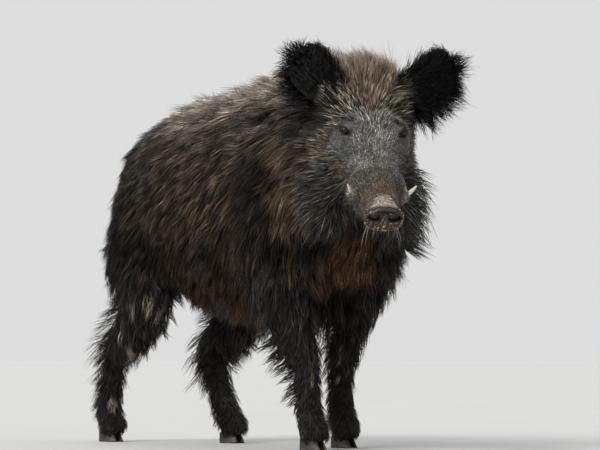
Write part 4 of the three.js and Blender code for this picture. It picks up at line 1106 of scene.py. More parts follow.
def grow(p, n, D, L, lift, bend, seg, head, sag):
    """Curves that lie over the skin: (count, seg + 1, 3)."""
    C = np.empty((len(p), seg + 1, 3))
    cur = p - n * 1.0
    C[:, 0] = cur
    side = np.cross(n, D)
    ci, si = np.cos(lift), np.sin(lift)
    for i in range(1, seg + 1):
        t = i / seg
        a = bend * (i - 0.5) / seg
        d, g = lookup(cur, head)
        way = D * np.cos(a)[:, None] + side * np.sin(a)[:, None]
        way[:, 2] -= sag * t
        way = unit(way - (way * g).sum(1)[:, None] * g)
        cur = cur + way * (L / seg * ci)[:, None]
        d, g = lookup(cur, head)
        h = si * L * t ** 0.9 + 0.6 * t
        cur = cur + g * np.clip(h - d, -L / seg * 1.2, L / seg * 1.2)[:, None]
        C[:, i] = cur
    return C


def coat(kind, count):
    seg = SEGMENTS[kind]
    count = int(count * SHARE)
    p, uv, tri = sow(kind, count)
    n = cnorm[tri]
    D, L, lift, W, pal, _, _, q = coat_at(p, n)
    head = np.full(count, kind in (1, 2))
    D = unit(D - (D * n).sum(1)[:, None] * n)
    # locks: each hair leans to the middle hair of the lock that it stands in
    per = {0: 12, 1: 6, 2: 8, 3: 11, 4: 7}[kind]
    lead = RNG.permutation(count)[: max(count // per, 1)]
    tree = kdtree.KDTree(len(lead))
    for i, j in enumerate(lead):
        tree.insert(p[j], i)
    tree.balance()
    own = np.array([tree.find(x)[1] for x in p])
    m = len(lead)
    turn = wave(p[lead], 150, 5) * 0.20 + wave(p[lead], 45, 6) * 0.16 + RNG.normal(0, 0.14, m)
    turn *= {1: 0.8, 2: 0.55}.get(kind, 1)
    longer = np.exp(RNG.normal(0, 0.16, m)) * (1 + 0.12 * wave(p[lead], 60, 9))
    longer = longer ** 0.6 if kind == 2 else longer
    bend = wave(p[lead], 90, 7) * 0.30 + RNG.normal(0, 0.20, m)
    wavy = {0: 1.0, 1: 0.5, 2: 0.7, 3: 0.8, 4: 0.8}[kind]
    up = np.exp(RNG.normal(0, 0.20, m))

    def rotated(D, n, a):
        return D * np.cos(a)[:, None] + np.cross(n, D) * np.sin(a)[:, None]

    Dl = rotated(D[lead], n[lead], turn)
    LC = grow(p[lead], n[lead], Dl, L[lead] * longer, np.radians(np.clip(lift[lead] * up, 3, 80)), bend * wavy, seg, head[lead], 0.10)
    Dm = rotated(D, n, turn[own] + RNG.normal(0, 0.10, count))
    Lm = L * longer[own] * RNG.uniform(0.72, 1.12, count)
    lm = np.radians(np.clip(lift * up[own] * RNG.uniform(0.55, 1.25, count), 2, 85))
    C = grow(p, n, Dm, Lm, lm, (bend[own] + RNG.normal(0, 0.12, count)) * wavy, seg, head, 0.10)
    t = np.arange(seg + 1) / seg
    hold = {0: 0.46, 1: 0.30, 2: 0.40, 3: 0.70, 4: 0.5}[kind] * RNG.uniform(0.55, 1.15, count)
    k = hold[:, None] * t[None] ** 1.25
    C = C + k[..., None] * (LC[own] - C)
    for i in range(1, seg + 1):                    # nothing dips into the skin
        d, g = lookup(C[:, i], head)
        C[:, i] += g * np.clip(0.5 + 1.2 * t[i] - d, 0, 8)[:, None]
    # colour: by lock and by hair
    lot = {0: 2.0, 1: 1.0, 2: 1.0, 3: 2.2, 4: 1.0}[kind]
    lot = RNG.random(m) ** (lot - 1) * lot if lot > 1 else np.ones(m)    # some locks are light, most are dark
    share = np.clip(pal @ PAL_TIP[:, 0] * (1 + 0.35 * wave(p, 55, 12)) * lot[own], 0, 0.95)
    chance = (RNG.random(count) < share).astype(float)
    chance *= RNG.uniform(0.55, 1.0, count)
    vary = {0: 0.26, 1: 0.42, 2: 0.30, 3: 0.26, 4: 0.26}[kind]
    dark = np.exp(RNG.normal(-0.03, vary, count) + RNG.normal(0, 0.28 if kind == 0 else 0.20, m)[own] + 0.16 * wave(p, 80, 21) + 0.10 * wave(p, 28, 22))
    mud = np.zeros((count, seg + 1))
    if kind in (0, 3):
        for mx, mf, mz, mr in MUD:
            rel = C - np.array([mx, -mf, mz])
            deep = rel @ np.array([0.54, 0.84, 0.0])          # through the depth of the coat
            d2 = (rel ** 2 / np.array([1, 1, 5.0])).sum(2) - deep ** 2
            mud = np.maximum(mud, np.exp(-d2 / (0.80 * mr) ** 2 - (deep / 48) ** 2))
        mud = np.clip(mud * 2.7 - 0.25, 0, 1) * (RNG.random(count) < 0.8)[:, None]
    return dict(mud=mud, C=C, W=W * {0: 0.51, 1: 0.86, 2: 0.9, 3: 0.70, 4: 0.8}[kind] * RNG.uniform(0.75, 1.25, count), pal=pal, chance=chance, dark=dark, uv=uv, root=p, kind=kind, q=q, seg=seg)


HAIR_LO = (np.array(cad_lo) - [0.018, 0.040, -0.003] - SHIFT) * 1000
HAIR_HI = (np.array(cad_hi) + [0.018, 0.040, 0.028] - SHIFT) * 1000


def strands_mesh(name, S, pick):
    """Three-sided hairs, closed at the root and drawn to a point."""
    C, W, seg = S["C"][pick], S["W"][pick], S["seg"]
    C = np.clip(C, HAIR_LO, HAIR_HI)               # no hair reaches the floor, or far outside the body's box
    n = len(C)
    head = np.full(n, S["kind"] in (1, 2))
    tang = np.empty_like(C)
    tang[:, 0] = C[:, 1] - C[:, 0]
    tang[:, -1] = C[:, -1] - C[:, -2]
    tang[:, 1:-1] = C[:, 2:] - C[:, :-2]
    tang = unit(tang)
    prof = np.array(PROFILE[seg])
    rings = []
    roll = RNG.uniform(-0.5, 0.5, n)
    for i in range(seg):
        _, g = lookup(C[:, i], head)
        side = unit(np.cross(tang[:, i], g))
        nor = np.cross(side, tang[:, i])
        r = (W * prof[i] / 2)[:, None]
        for a in (90, 210, 330):
            th = np.radians(a) + roll
            rings.append(C[:, i] + side * np.cos(th)[:, None] * r + nor * np.sin(th)[:, None] * r * 0.6)
    rings.append(C[:, seg])
    verts = np.stack(rings, 1)                     # (n, 3 seg + 1, 3)
    k = 3 * seg + 1
    tris = [(0, 2, 1)]
    for i in range(seg - 1):
        for a in range(3):
            b = (a + 1) % 3
            tris += [(3 * i + a, 3 * i + b, 3 * i + 3 + b), (3 * i + a, 3 * i + 3 + b, 3 * i + 3 + a)]
    for a in range(3):
        tris.append((3 * (seg - 1) + a, 3 * (seg - 1) + (a + 1) % 3, 3 * seg))
    faces = (np.arange(n)[:, None, None] * k + np.array(tris)[None]).reshape(-1, 3)
    t = np.append(np.repeat(np.arange(seg) / seg, 3), 1.0)
    col = shade(S["pal"][pick], np.broadcast_to(t, (n, k)), S["chance"][pick], S["dark"][pick])
    dry = S["mud"][pick]
    dry = 0.92 * np.concatenate([np.repeat(dry[:, :seg], 3, axis=1), dry[:, seg:]], 1)[..., None]
    col = col * (1 - dry) + lin((206, 192, 170)) * np.clip(S["dark"][pick], 0.7, 1.2)[:, None, None] * dry
    a = np.append(np.tile([0.0, 0.5, 1.0], seg), 0.5)
    patch = np.stack([(a - 0.5) * 0.003, (t - 0.5) * 0.003], 1)
    uv = S["uv"][pick][:, None] + patch[None]
    o = mesh_object(name, metres(verts.reshape(-1, 3)), faces, np.clip(uv.reshape(-1, 2), 0.0005, 0.9995), col.reshape(-1, 3))
    return o


# =====================================================================================================================
# Materials
# =====================================================================================================================
def material(name):
    m = bpy.data.materials.new(name)
    m.use_nodes = True
    nt = m.node_tree
    b = next(n for n in nt.nodes if n.type == "BSDF_PRINCIPLED")

    def node(kind, **kw):
        n = nt.nodes.new(kind)
        for k, v in kw.items():
            if k in n.inputs:
                n.inputs[k].default_value = v
            else:
                setattr(n, k, v)
        return n
    return m, nt, b, node


def noise(nt, node, scale, detail=3, rough=0.55, coord=None):
    n = node("ShaderNodeTexNoise", Scale=scale, Detail=detail, Roughness=rough)
    if coord is None:
        coord = node("ShaderNodeTexCoord").outputs["Object"]
    nt.links.new(coord, n.inputs["Vector"])
    return n


def ramp(nt, node, fac, stops):
    r = node("ShaderNodeValToRGB")
    while len(r.color_ramp.elements) < len(stops):
        r.color_ramp.elements.new(0.5)
    for e, (pos, c) in zip(r.color_ramp.elements, stops):
        e.position = pos
        e.color = (*c, 1) if len(c) == 3 else c
    nt.links.new(fac, r.inputs["Fac"])
    return r


def times(nt, node, a, b, kind="MULTIPLY", fac=1.0):
    m = node("ShaderNodeMix", data_type="RGBA", blend_type=kind)
    m.inputs["Factor"].default_value = fac
    nt.links.new(a, m.inputs["A"])
    nt.links.new(b, m.inputs["B"])
    return m.outputs["Result"]


def bump(nt, node, height, strength, distance, under=None):
    b = node("ShaderNodeBump", Strength=strength, Distance=distance)
    nt.links.new(height, b.inputs["Height"])
    if under is not None:
        nt.links.new(under, b.inputs["Normal"])
    return b.outputs["Normal"]


def hair_material(name, rough=0.40, spec=0.28, sheen=0.0):
    m, nt, b, node = material(name)
    at = node("ShaderNodeAttribute", attribute_name="tint")
    n1 = noise(nt, node, 55, 2)
    grey = ramp(nt, node, n1.outputs["Fac"], [(0.3, (0.72, 0.70, 0.68)), (0.7, (1.26, 1.24, 1.22))])
    c = times(nt, node, at.outputs["Color"], grey.outputs["Color"])
    nt.links.new(c, b.inputs["Base Color"])
    n2 = noise(nt, node, 140, 2)
    rr = node("ShaderNodeMapRange")
    rr.inputs["To Min"].default_value, rr.inputs["To Max"].default_value = rough - 0.08, rough + 0.12
    nt.links.new(n2.outputs["Fac"], rr.inputs["Value"])
    nt.links.new(rr.outputs["Result"], b.inputs["Roughness"])
    b.inputs["Specular IOR Level"].default_value = spec
    b.inputs["Sheen Weight"].default_value = sheen
    b.inputs["Sheen Roughness"].default_value = 0.4
    return m


MAT = {"coat": hair_material("coat", 0.40, 0.12), "dark": hair_material("dark_coat", 0.38, 0.16), "face": hair_material("face_coat", 0.44, 0.15)}


def skin_material():
    m, nt, b, node = material("skin")
    at = node("ShaderNodeAttribute", attribute_name="tint")
    wet = node("ShaderNodeAttribute", attribute_name="bare")
    n1 = noise(nt, node, 320, 4, 0.65)
    g = ramp(nt, node, n1.outputs["Fac"], [(0.30, (0.55, 0.53, 0.52)), (0.55, (1.0, 1.0, 1.0)), (0.75, (1.45, 1.42, 1.38))])
    c = times(nt, node, at.outputs["Color"], g.outputs["Color"])
    # bare skin is mottled and scuffed
    n3 = noise(nt, node, 170, 4, 0.7)
    g3 = ramp(nt, node, n3.outputs["Fac"], [(0.36, (0.42, 0.40, 0.40)), (0.50, (0.95, 0.95, 0.95)), (0.62, (1.55, 1.56, 1.58))])
    scuff = node("ShaderNodeMix", data_type="RGBA", blend_type="MIX")
    nt.links.new(wet.outputs["Fac"], scuff.inputs["Factor"])
    scuff.inputs[6].default_value = (1, 1, 1, 1)
    nt.links.new(g3.outputs["Color"], scuff.inputs[7])
    c = times(nt, node, c, scuff.outputs[2])
    nt.links.new(c, b.inputs["Base Color"])
    # short hair as fine ridges, and the grain and creases of the bare parts
    n2 = noise(nt, node, 900, 3, 0.6)
    v = node("ShaderNodeTexVoronoi", Scale=420.0)
    v.feature = "DISTANCE_TO_EDGE"
    nt.links.new(node("ShaderNodeTexCoord").outputs["Object"], v.inputs["Vector"])
    mixh = node("ShaderNodeMix", data_type="FLOAT")
    nt.links.new(wet.outputs["Fac"], mixh.inputs["Factor"])
    nt.links.new(n2.outputs["Fac"], mixh.inputs["A"])
    nt.links.new(v.outputs["Distance"], mixh.inputs["B"])
    nb = bump(nt, node, mixh.outputs["Result"], 0.55, 0.0012)
    nb = bump(nt, node, noise(nt, node, 150, 3).outputs["Fac"], 0.35, 0.0015, nb)
    nt.links.new(nb, b.inputs["Normal"])
    rr = node("ShaderNodeMapRange")
    rr.inputs["To Min"].default_value, rr.inputs["To Max"].default_value = 0.78, 0.46
    nt.links.new(wet.outputs["Fac"], rr.inputs["Value"])
    nt.links.new(rr.outputs["Result"], b.inputs["Roughness"])
    b.inputs["Specular IOR Level"].default_value = 0.35
    return m


MAT["skin"] = skin_material()


def plain_material(name, rough, spec, scale, spread, bump_scale, bump_dist, coatw=0.0):
    """Colour from the vertices, with grain, spread and fine relief."""
    m, nt, b, node = material(name)
    at = node("ShaderNodeAttribute", attribute_name="tint")
    g = ramp(nt, node, noise(nt, node, scale, 4).outputs["Fac"], [(0.3, (1 - spread,) * 3), (0.7, (1 + spread,) * 3)])
    nt.links.new(times(nt, node, at.outputs["Color"], g.outputs["Color"]), b.inputs["Base Color"])
    nt.links.new(bump(nt, node, noise(nt, node, bump_scale, 4).outputs["Fac"], 0.5, bump_dist), b.inputs["Normal"])
    rr = node("ShaderNodeMapRange")
    rr.inputs["To Min"].default_value, rr.inputs["To Max"].default_value = max(rough - 0.08, 0.02), rough + 0.1
    nt.links.new(noise(nt, node, scale * 1.7, 2).outputs["Fac"], rr.inputs["Value"])
    nt.links.new(rr.outputs["Result"], b.inputs["Roughness"])
    b.inputs["Specular IOR Level"].default_value = spec
    b.inputs["Coat Weight"].default_value = coatw
    b.inputs["Coat Roughness"].default_value = 0.04
    return m


MAT["eye"] = plain_material("eye", 0.09, 0.28, 900, 0.25, 1200, 0.00002, 0.0)
MAT["ivory"] = plain_material("ivory", 0.30, 0.5, 260, 0.14, 500, 0.0003, 0.25)
MAT["horn"] = plain_material("horn", 0.48, 0.4, 160, 0.30, 300, 0.0012)
MAT["disc"] = plain_material("disc", 0.40, 0.32, 420, 0.34, 900, 0.0010, 0.08)
MAT["grain"] = plain_material("grain", 0.45, 0.5, 900, 0.35, 900, 0.0002)
MAT["whisker"] = hair_material("whisker", 0.35, 0.5)


def finish_piece(o, mat, nodes=(), body="root"):
    o.data.materials.append(MAT[mat])
    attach(o, body)
    if nodes:
        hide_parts(*nodes)
    return o


# --------------------------------------------------------------------------------------------------------- the skin
def vertex_normals(V, T):
    fn = np.cross(V[T[:, 1]] - V[T[:, 0]], V[T[:, 2]] - V[T[:, 0]])
    n = np.zeros_like(V)
    for i in range(3):
        for a in range(3):
            n[:, a] += np.bincount(T[:, i], fn[:, a], len(V))
    return unit(n)


VN = vertex_normals(V, T)
_D, _L, _F, _W, _P, _K, _B, _q = coat_at(V, VN)
tone = shade(_P, np.full((len(V), 1), 0.42), np.full(len(V), 0.35), np.exp(0.16 * wave(V, 80, 21)))[:, 0]
# the skin under the coat is painted darker, most under long hair: painted shade in the gaps of the coat
under = np.where(_L > 20, 0.30, 0.50)[:, None]
bare = _B * (_K != 3)
skin_tint = tone * (under * (1 - bare[:, None]) + bare[:, None])
v_, s_, u_ = _q.T
# the mouth's groove is painted dark: painted shade in the crease between the lips
groove = np.exp(-((u_ - mouth_line(s_)) / 2.6) ** 2) * (s_ < 150) * (s_ > 10)
skin_tint *= (1 - 0.75 * groove)[:, None]
# the bare nose is darkened, most in the grooves of its folds: painted shade in the folds, with a random mottle
skin_tint *= (1 - 0.40 * nose_window(v_, s_, u_) * (0.4 + 0.7 * nose_fold(v_, s_) - 0.7 * wave(V, 6, 75)))[:, None]
skin_obj = mesh_object("skin", metres(V), T, UV.reshape(-1, 2), skin_tint, {"bare": np.repeat(bare[:, None], 3, 1)})
finish_piece(skin_obj, "skin", [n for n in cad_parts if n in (
    "head", "snout", "lower_jaw", "neck", "trunk", "tail", "ear_left", "ear_right",
    "leg_front_right", "leg_front_left", "leg_hind_right", "leg_hind_left")])
stamp("skin object")

# --------------------------------------------------------------------------------------------------------- the coat
total = 0


def add_coat(S, groups, mat):
    global total
    for name, pick in groups:
        pick = np.flatnonzero(pick)
        if not len(pick):
            continue
        o = strands_mesh(name, S, pick)
        n = len(o.data.polygons)
        total += n
        if n >= 200000:
            raise RuntimeError(f"{name} has {n} triangles")
        finish_piece(o, mat)
        print("   ", name, len(pick), "hairs", n, "triangles")


S = coat(0, COUNT[0])
y, x = S["root"][:, 1], S["root"][:, 0] - np.interp(S["root"][:, 1], TORSO_ROWS[:, 1], TORSO_ROWS[:, 0])
zone = np.digitize(y, [-390, -180, 80, 300])
groups = []
for i, word in enumerate(("neck", "shoulder", "flank", "loin", "rump")):
    for side, w in ((1, "left"), (-1, "right")):
        groups.append((f"coat_{word}_{w}", (zone == i) & (x * side > (0 if side > 0 else -1e-9))))
add_coat(S, groups, "coat")
S = coat(1, COUNT[1])
s1, v1 = S["q"][:, 1], S["q"][:, 0]
add_coat(S, [
    ("coat_muzzle", s1 < 130), ("coat_face_left", (s1 >= 130) & (s1 < 240) & (v1 > 0)), ("coat_face_right", (s1 >= 130) & (s1 < 240) & (v1 <= 0)),
    ("coat_brow_left", (s1 >= 240) & (v1 > 0)), ("coat_brow_right", (s1 >= 240) & (v1 <= 0)),
], "face")
S = coat(2, COUNT[2])
add_coat(S, [("coat_ear_left", S["q"][:, 0] > 0), ("coat_ear_right", S["q"][:, 0] <= 0)], "dark")
S = coat(3, COUNT[3])
add_coat(S, [("coat_legs_front", S["root"][:, 1] < -60), ("coat_legs_hind", S["root"][:, 1] >= -60)], "dark")
S = coat(4, COUNT[4])
add_coat(S, [("coat_tail", np.ones(len(S["uv"]), bool))], "dark")
stamp(f"coat {total} triangles")



# Tufts that stand out of the coat: x, f, z of the middle, reach, the way they point (x, f, z), length, tufts, palette.
TUFTS = [
    (86, 470, 520, 42, (.85, .10, -.50), 116, 14, "dark"), (82, 452, 480, 40, (.85, .10, -.55), 108, 13, "dark"), (86, 430, 440, 40, (.80, .00, -.65), 92, 12, "dark"),
    (90, 400, 390, 36, (.75, .00, -.70), 74, 9, "dark"),
    (-98, 316, 330, 30, (-.68, -.60, -.40), 74, 6, "leg"), (-98, 316, 285, 28, (-.68, -.60, -.42), 78, 7, "leg"), (-96, 322, 240, 26, (-.68, -.60, -.42), 76, 7, "leg"),
    (-92, 334, 195, 24, (-.65, -.60, -.50), 66, 6, "leg"), (-88, 346, 150, 22, (-.65, -.60, -.55), 54, 5, "leg"), (-87, 350, 110, 20, (-.6, -.6, -.6), 42, 4, "leg"),
    (98, 250, 300, 30, (.30, -.80, -.50), 60, 6, "leg"), (90, 236, 230, 26, (.30, -.80, -.50), 56, 6, "leg"),
    (-92, -470, 480, 40, (-.40, -.90, -.30), 60, 6, "thigh"), (-98, -440, 400, 40, (-.45, -.85, -.40), 60, 7, "thigh"), (-104, -425, 330, 32, (-.50, -.80, -.45), 54, 6, "leg"),
    (-100, -462, 262, 28, (-.50, -.80, -.40), 48, 5, "leg"), (-96, -500, 205, 24, (-.50, -.80, -.50), 44, 5, "leg"), (-93, -522, 150, 20, (-.50, -.80, -.50), 38, 4, "leg"),
    (-92, -540, 95, 20, (-.50, -.80, -.55), 34, 4, "leg"), (-112, -245, 350, 44, (.20, .60, -.85), 54, 10, "leg"), (-104, -280, 300, 36, (.20, .60, -.85), 50, 8, "leg"),
    (92, -420, 400, 40, (.40, -.85, -.40), 58, 6, "thigh"), (106, -330, 300, 34, (.30, -.85, -.45), 54, 7, "leg"), (100, -372, 240, 28, (.20, -.85, -.50), 48, 6, "leg"),
    (92, -352, 186, 24, (.10, -.85, -.55), 42, 5, "leg"), (120, -190, 320, 34, (.50, .60, -.70), 54, 8, "leg"), (108, -240, 270, 30, (.50, .60, -.70), 48, 6, "leg"),
    (0, 312, 338, 42, (.0, .0, -1), 116, 13, "leg_in"), (14, 276, 336, 38, (.05, -.1, -1), 100, 9, "leg_in"),
    (60, 262, 312, 28, (-.5, .1, -.85), 62, 5, "leg_in"), (-52, 356, 312, 28, (.5, -.2, -.85), 60, 5, "leg_in"),
    (0, 60, 318, 120, (.0, -.4, -.9), 46, 12, "belly"), (0, -150, 350, 90, (.0, -.4, -.9), 42, 9, "belly"),
]
for _side in (1, -1):
    for _l, _way, _L in ((14, (.10, .10, -1), 62), (28, (.16, .10, -1), 74), (46, (.22, .12, -1), 72), (66, (.32, .20, -1), 60), (90, (.45, .30, -1), 46), (114, (.60, .35, -.9), 38), (134, (.80, .40, -.7), 30)):
        if _l > EAR_LEN[_side] * 0.92:
            continue
        _w = ear_half(_l / EAR_LEN[_side], _side) * 0.9
        _p = from_head(np.array([EAR_BASE[0] * _side, EAR_BASE[1], EAR_BASE[2]]) + np.array([_l, -_w, 6.0]) @ EAR_AXES[_side])
        TUFTS.append((_p[0], -_p[1], _p[2], 17, (_way[0] * _side, _way[1], _way[2]), _L * (1 if _side > 0 else 0.75), 6, "ear"))


def tufts():
    """Pointed tufts, each a few hairs that close on one tip."""
    per, seg = 13, 3
    C, W, pal, uv, own = [], [], [], [], []
    for x, f, z, reach, way, L, many, name in TUFTS:
        c, way = np.array([x, -f, z]), unit(np.array([way[0], -way[1], way[2]]))
        near = np.linalg.norm(cent - c, axis=1)
        k = area * (near < reach + 12) * np.exp(-(near / reach) ** 2) * ((cnorm @ way) > -0.25)
        if k.sum() <= 0:
            print("no skin near a tuft", x, f, z)
            continue
        lead = RNG.choice(len(cent), many, p=k / k.sum())
        for j in lead:
            d = unit(way + RNG.normal(0, 0.16, 3))
            length = L * RNG.uniform(0.72, 1.15)
            root = cent[j] + RNG.normal(0, 5.5, (per, 3))
            root = settle(root, skin, 1, 10) - cnorm[j] * 1.0
            tip = cent[j] + d * length + np.array([0, 0, -0.10 * length])
            tips = tip + RNG.normal(0, 3.2, (per, 3)) - d * length * RNG.uniform(0, 0.3, per)[:, None]
            mid = root + cnorm[j] * length * 0.16 + d * length * 0.36
            for t in np.arange(seg + 1) / seg:
                own.append((1 - t) ** 2 * root + 2 * t * (1 - t) * mid + t * t * tips)
            C.append(np.stack(own[-seg - 1:], 1))
            W.append(np.full(per, 2.3 if L > 80 else 1.9) * RNG.uniform(0.7, 1.2, per))
            hot = np.zeros((per, len(NAMES)))
            hot[:, NAMES.index(name)] = 1
            pal.append(hot)
            uv.append(np.repeat(UV[j].mean(0)[None], per, 0) + RNG.normal(0, 0.0008, (per, 2)))
    C, W, pal, uv = (np.concatenate(a) for a in (C, W, pal, uv))
    n = len(C)
    chance = (RNG.random(n) < pal @ PAL_TIP[:, 0]) * RNG.uniform(0.5, 1.0, n)
    return dict(C=C, W=W, pal=pal, chance=chance, dark=np.exp(RNG.normal(-0.03, 0.3, n)), uv=uv, root=C[:, 0], kind=3, q=to_head(C[:, 0]), seg=seg, mud=np.zeros((n, seg + 1)))


S = tufts()
add_coat(S, [("coat_tufts", np.ones(len(S["W"]), bool))], "dark")

# =====================================================================================================================
# Eyes, disc, tusks, claws
# =====================================================================================================================
def ball(n_long, n_lat):
    """Unit sphere with its pole along +Z: vertices, triangles, and the angle from the pole."""
    th = np.linspace(0, np.pi, n_lat + 1)[1:-1]
    ph = np.arange(n_long) * 2 * np.pi / n_long
    v = [(0, 0, 1)] + [(math.sin(t) * math.cos(a), math.sin(t) * math.sin(a), math.cos(t)) for t in th for a in ph] + [(0, 0, -1)]
    f = []
    for j in range(n_long):
        f.append((0, 1 + j, 1 + (j + 1) % n_long))
    for i in range(len(th) - 1):
        for j in range(n_long):
            a, b = 1 + i * n_long + j, 1 + i * n_long + (j + 1) % n_long
            f += [(a, a + n_long, b + n_long), (a, b + n_long, b)]
    last = len(v) - 1
    for j in range(n_long):
        a, b = 1 + (len(th) - 1) * n_long + j, 1 + (len(th) - 1) * n_long + (j + 1) % n_long
        f.append((a, last, b))
    v = np.array(v)
    return v, np.array(f), np.arccos(np.clip(v[:, 2], -1, 1))


def own_uv(n, k=0.02):
    return np.stack([0.5 + k * np.cos(np.arange(n)), 0.5 + k * np.sin(np.arange(n))], 1)


for side, word in ((1, "left"), (-1, "right")):
    c, along, over, out = EYES[side]
    v, f, th = ball(64, 48)
    swell = 1 + 0.055 * np.exp(-(th / 0.42) ** 4)                   # the cornea
    p = (v[:, :1] * along + v[:, 1:2] * over + v[:, 2:] * out) * (EYE_R - 0.25) * swell[:, None] + c
    if np.linalg.det(np.array([along, over, out])) < 0:
        f = f[:, ::-1]
    a = np.arctan2(v[:, 1], v[:, 0])
    r = np.sqrt((v[:, 0] * 0.80) ** 2 + (v[:, 1] * 1.15) ** 2)
    iris = lin((34, 19, 13)) * (1 + 0.45 * np.sin(a * 23) * np.sin(a * 9 + 1))[:, None] * (0.7 + 0.9 * smooth(th, 0.24, 0.44))[:, None]
    white = np.broadcast_to(lin((24, 18, 16)), iris.shape)
    k = smooth(th, 0.56, 0.66)[:, None]
    col = iris * (1 - k) + white * k
    col = col * (1 - 0.9 * np.exp(-((th - 0.60) / 0.05) ** 2))[:, None]
    pup = (1 - smooth(r, 0.20, 0.25))[:, None]
    col = col * (1 - pup) + lin((4, 4, 5)) * pup
    o = mesh_object(f"eyeball_{word}", metres(from_head(p)), f, tint=col)
    finish_piece(o, "eye", [f"eye_{word}"])


def sweep(rows, radius, n=18, around=16, section=None):
    """A closed bar along points in the head's frame."""
    r = catmull(np.column_stack([np.array(rows, float), radius]), n)
    c, rad = r[:, :3], r[:, 3]
    t = unit(np.gradient(c, axis=0))
    side = unit(np.cross(t, np.array([0, 1.0, 0])))
    up = np.cross(side, t)
    ang = np.arange(around) * 2 * np.pi / around
    k = np.ones(around) if section is None else section(ang)
    v = (c[:, None] + side[:, None] * (np.cos(ang) * k)[None, :, None] * rad[:, None, None] + up[:, None] * (np.sin(ang) * k)[None, :, None] * rad[:, None, None]).reshape(-1, 3)
    f = []
    m = len(c)
    for i in range(m - 1):
        for j in range(around):
            a, b = i * around + j, i * around + (j + 1) % around
            f += [(a, b, b + around), (a, b + around, a + around)]
    v = np.vstack([v, c[0], c[-1] + t[-1] * rad[-1] * 0.8])
    n0, n1 = len(v) - 2, len(v) - 1
    for j in range(around):
        f.append((n0, (j + 1) % around, j))
        f.append((n1, (m - 1) * around + j, (m - 1) * around + (j + 1) % around))
    along = np.concatenate([np.repeat(np.arange(m) / (m - 1), around), [0, 1]])
    return v, np.array(f), along


for word, rows in TUSKS.items():
    rad = [TUSK_R * 0.94 * k for k in TUSK_TAPER]
    v, f, t = sweep(rows, rad, section=lambda a: 1 - 0.10 * np.cos(3 * a + 0.5) - 0.05 * np.cos(2 * a))
    col = lin((216, 208, 184)) * (1 - smooth(t, 0.35, 0.0)[:, None] * np.array([0.45, 0.55, 0.68])) * (1 - 0.25 * smooth(t, 0.8, 1.0)[:, None] * np.array([0.3, 0.5, 0.9]))
    col = col * (1 + 0.08 * np.sin(t * 60))[:, None]
    o = mesh_object(f"tusk_{word}_fine", metres(from_head(v)), f, tint=col)
    finish_piece(o, "ivory", [f"tusk_{word}"])


# ------------------------------------------------------------------------------------------------------ snout disc
DISC_HALF, DISC_HIGH, DISC_THICK, DISC_LEAN = 43.0, 30.0, 11.0, math.radians(8)


def disc_local(q):
    """Head frame to the disc's own: x left, y back, z up."""
    v, s, u = q.T
    return np.stack([v, s * math.cos(DISC_LEAN) + u * math.sin(DISC_LEAN), u * math.cos(DISC_LEAN) - s * math.sin(DISC_LEAN)], 1)


def from_disc(p):
    x, y, z = p.T
    return np.stack([x, y * math.cos(DISC_LEAN) - z * math.sin(DISC_LEAN), y * math.sin(DISC_LEAN) + z * math.cos(DISC_LEAN)], 1)


def disc_field(p):
    x, y, z = p.T
    w = np.abs(x)
    top = DISC_HIGH - 1.2 - 5.5 * smooth(w, 8, 40)                       # the upper rim is an arch
    r = (np.abs(x / (DISC_HALF - 0.8)) ** 2.4 + np.abs(z / np.where(z > 0, top, DISC_HIGH - 1.0)) ** 2.4) ** (1 / 2.4)
    edge = (r - 1) * 27
    edge = edge + 1.1 * smooth(y, -6, -2) * smooth(z, 4, 14) * np.cos(2 * np.pi * (y + 0.006 * x * x + 1.2 * np.sin(x / 6.0)) / 6.6)
    front = -DISC_THICK + 4.6 + 1.2 * np.sin(np.clip(z, -30, 30) / 30 * 1.3)   # the hollow face
    rim = np.exp(-((edge + 4.2) / 3.4) ** 2)
    front = front - rim * (2.6 + 1.6 * smooth(z, 0, 20))
    front = front - 1.8 * np.exp(-(w / 5) ** 2) * smooth(z, 14, -4)      # the ridge between the nostrils
    front = front + 1.6 * np.exp(-(w / 2.2) ** 2) * smooth(z, -8, -20)   # the cleft to the lip
    # nostrils: lying ovals with a swollen edge
    nx, nz = (w - 22.0) / 12.4, (z - 5.0 - 0.18 * (w - 21)) / 8.8
    g = np.sqrt(nx * nx + nz * nz)
    front = front - 2.3 * np.exp(-((g - 1.28) / 0.26) ** 2) * (0.6 + 0.4 * smooth(z, -4, 10))
    front = front - 0.35 * np.cos(x * 1.15 + 0.8 * np.sin(z * 0.7)) * np.cos(z * 1.25 + 0.7 * np.sin(x * 0.6))
    back = y - 10.0
    d = np.maximum(np.maximum(edge, front - y), back)
    h = np.maximum(5 - np.abs(edge - (front - y)), 0) / 5
    d = d + h * h * 1.25
    hole = np.maximum((g - 1) * 5.0, -(y + 14)) + 0.0 * x
    hole = np.maximum(hole, y - 5.0)
    h = np.maximum(2.4 - np.abs(d + hole), 0) / 2.4
    return np.maximum(d, -hole) + h * h * 0.6


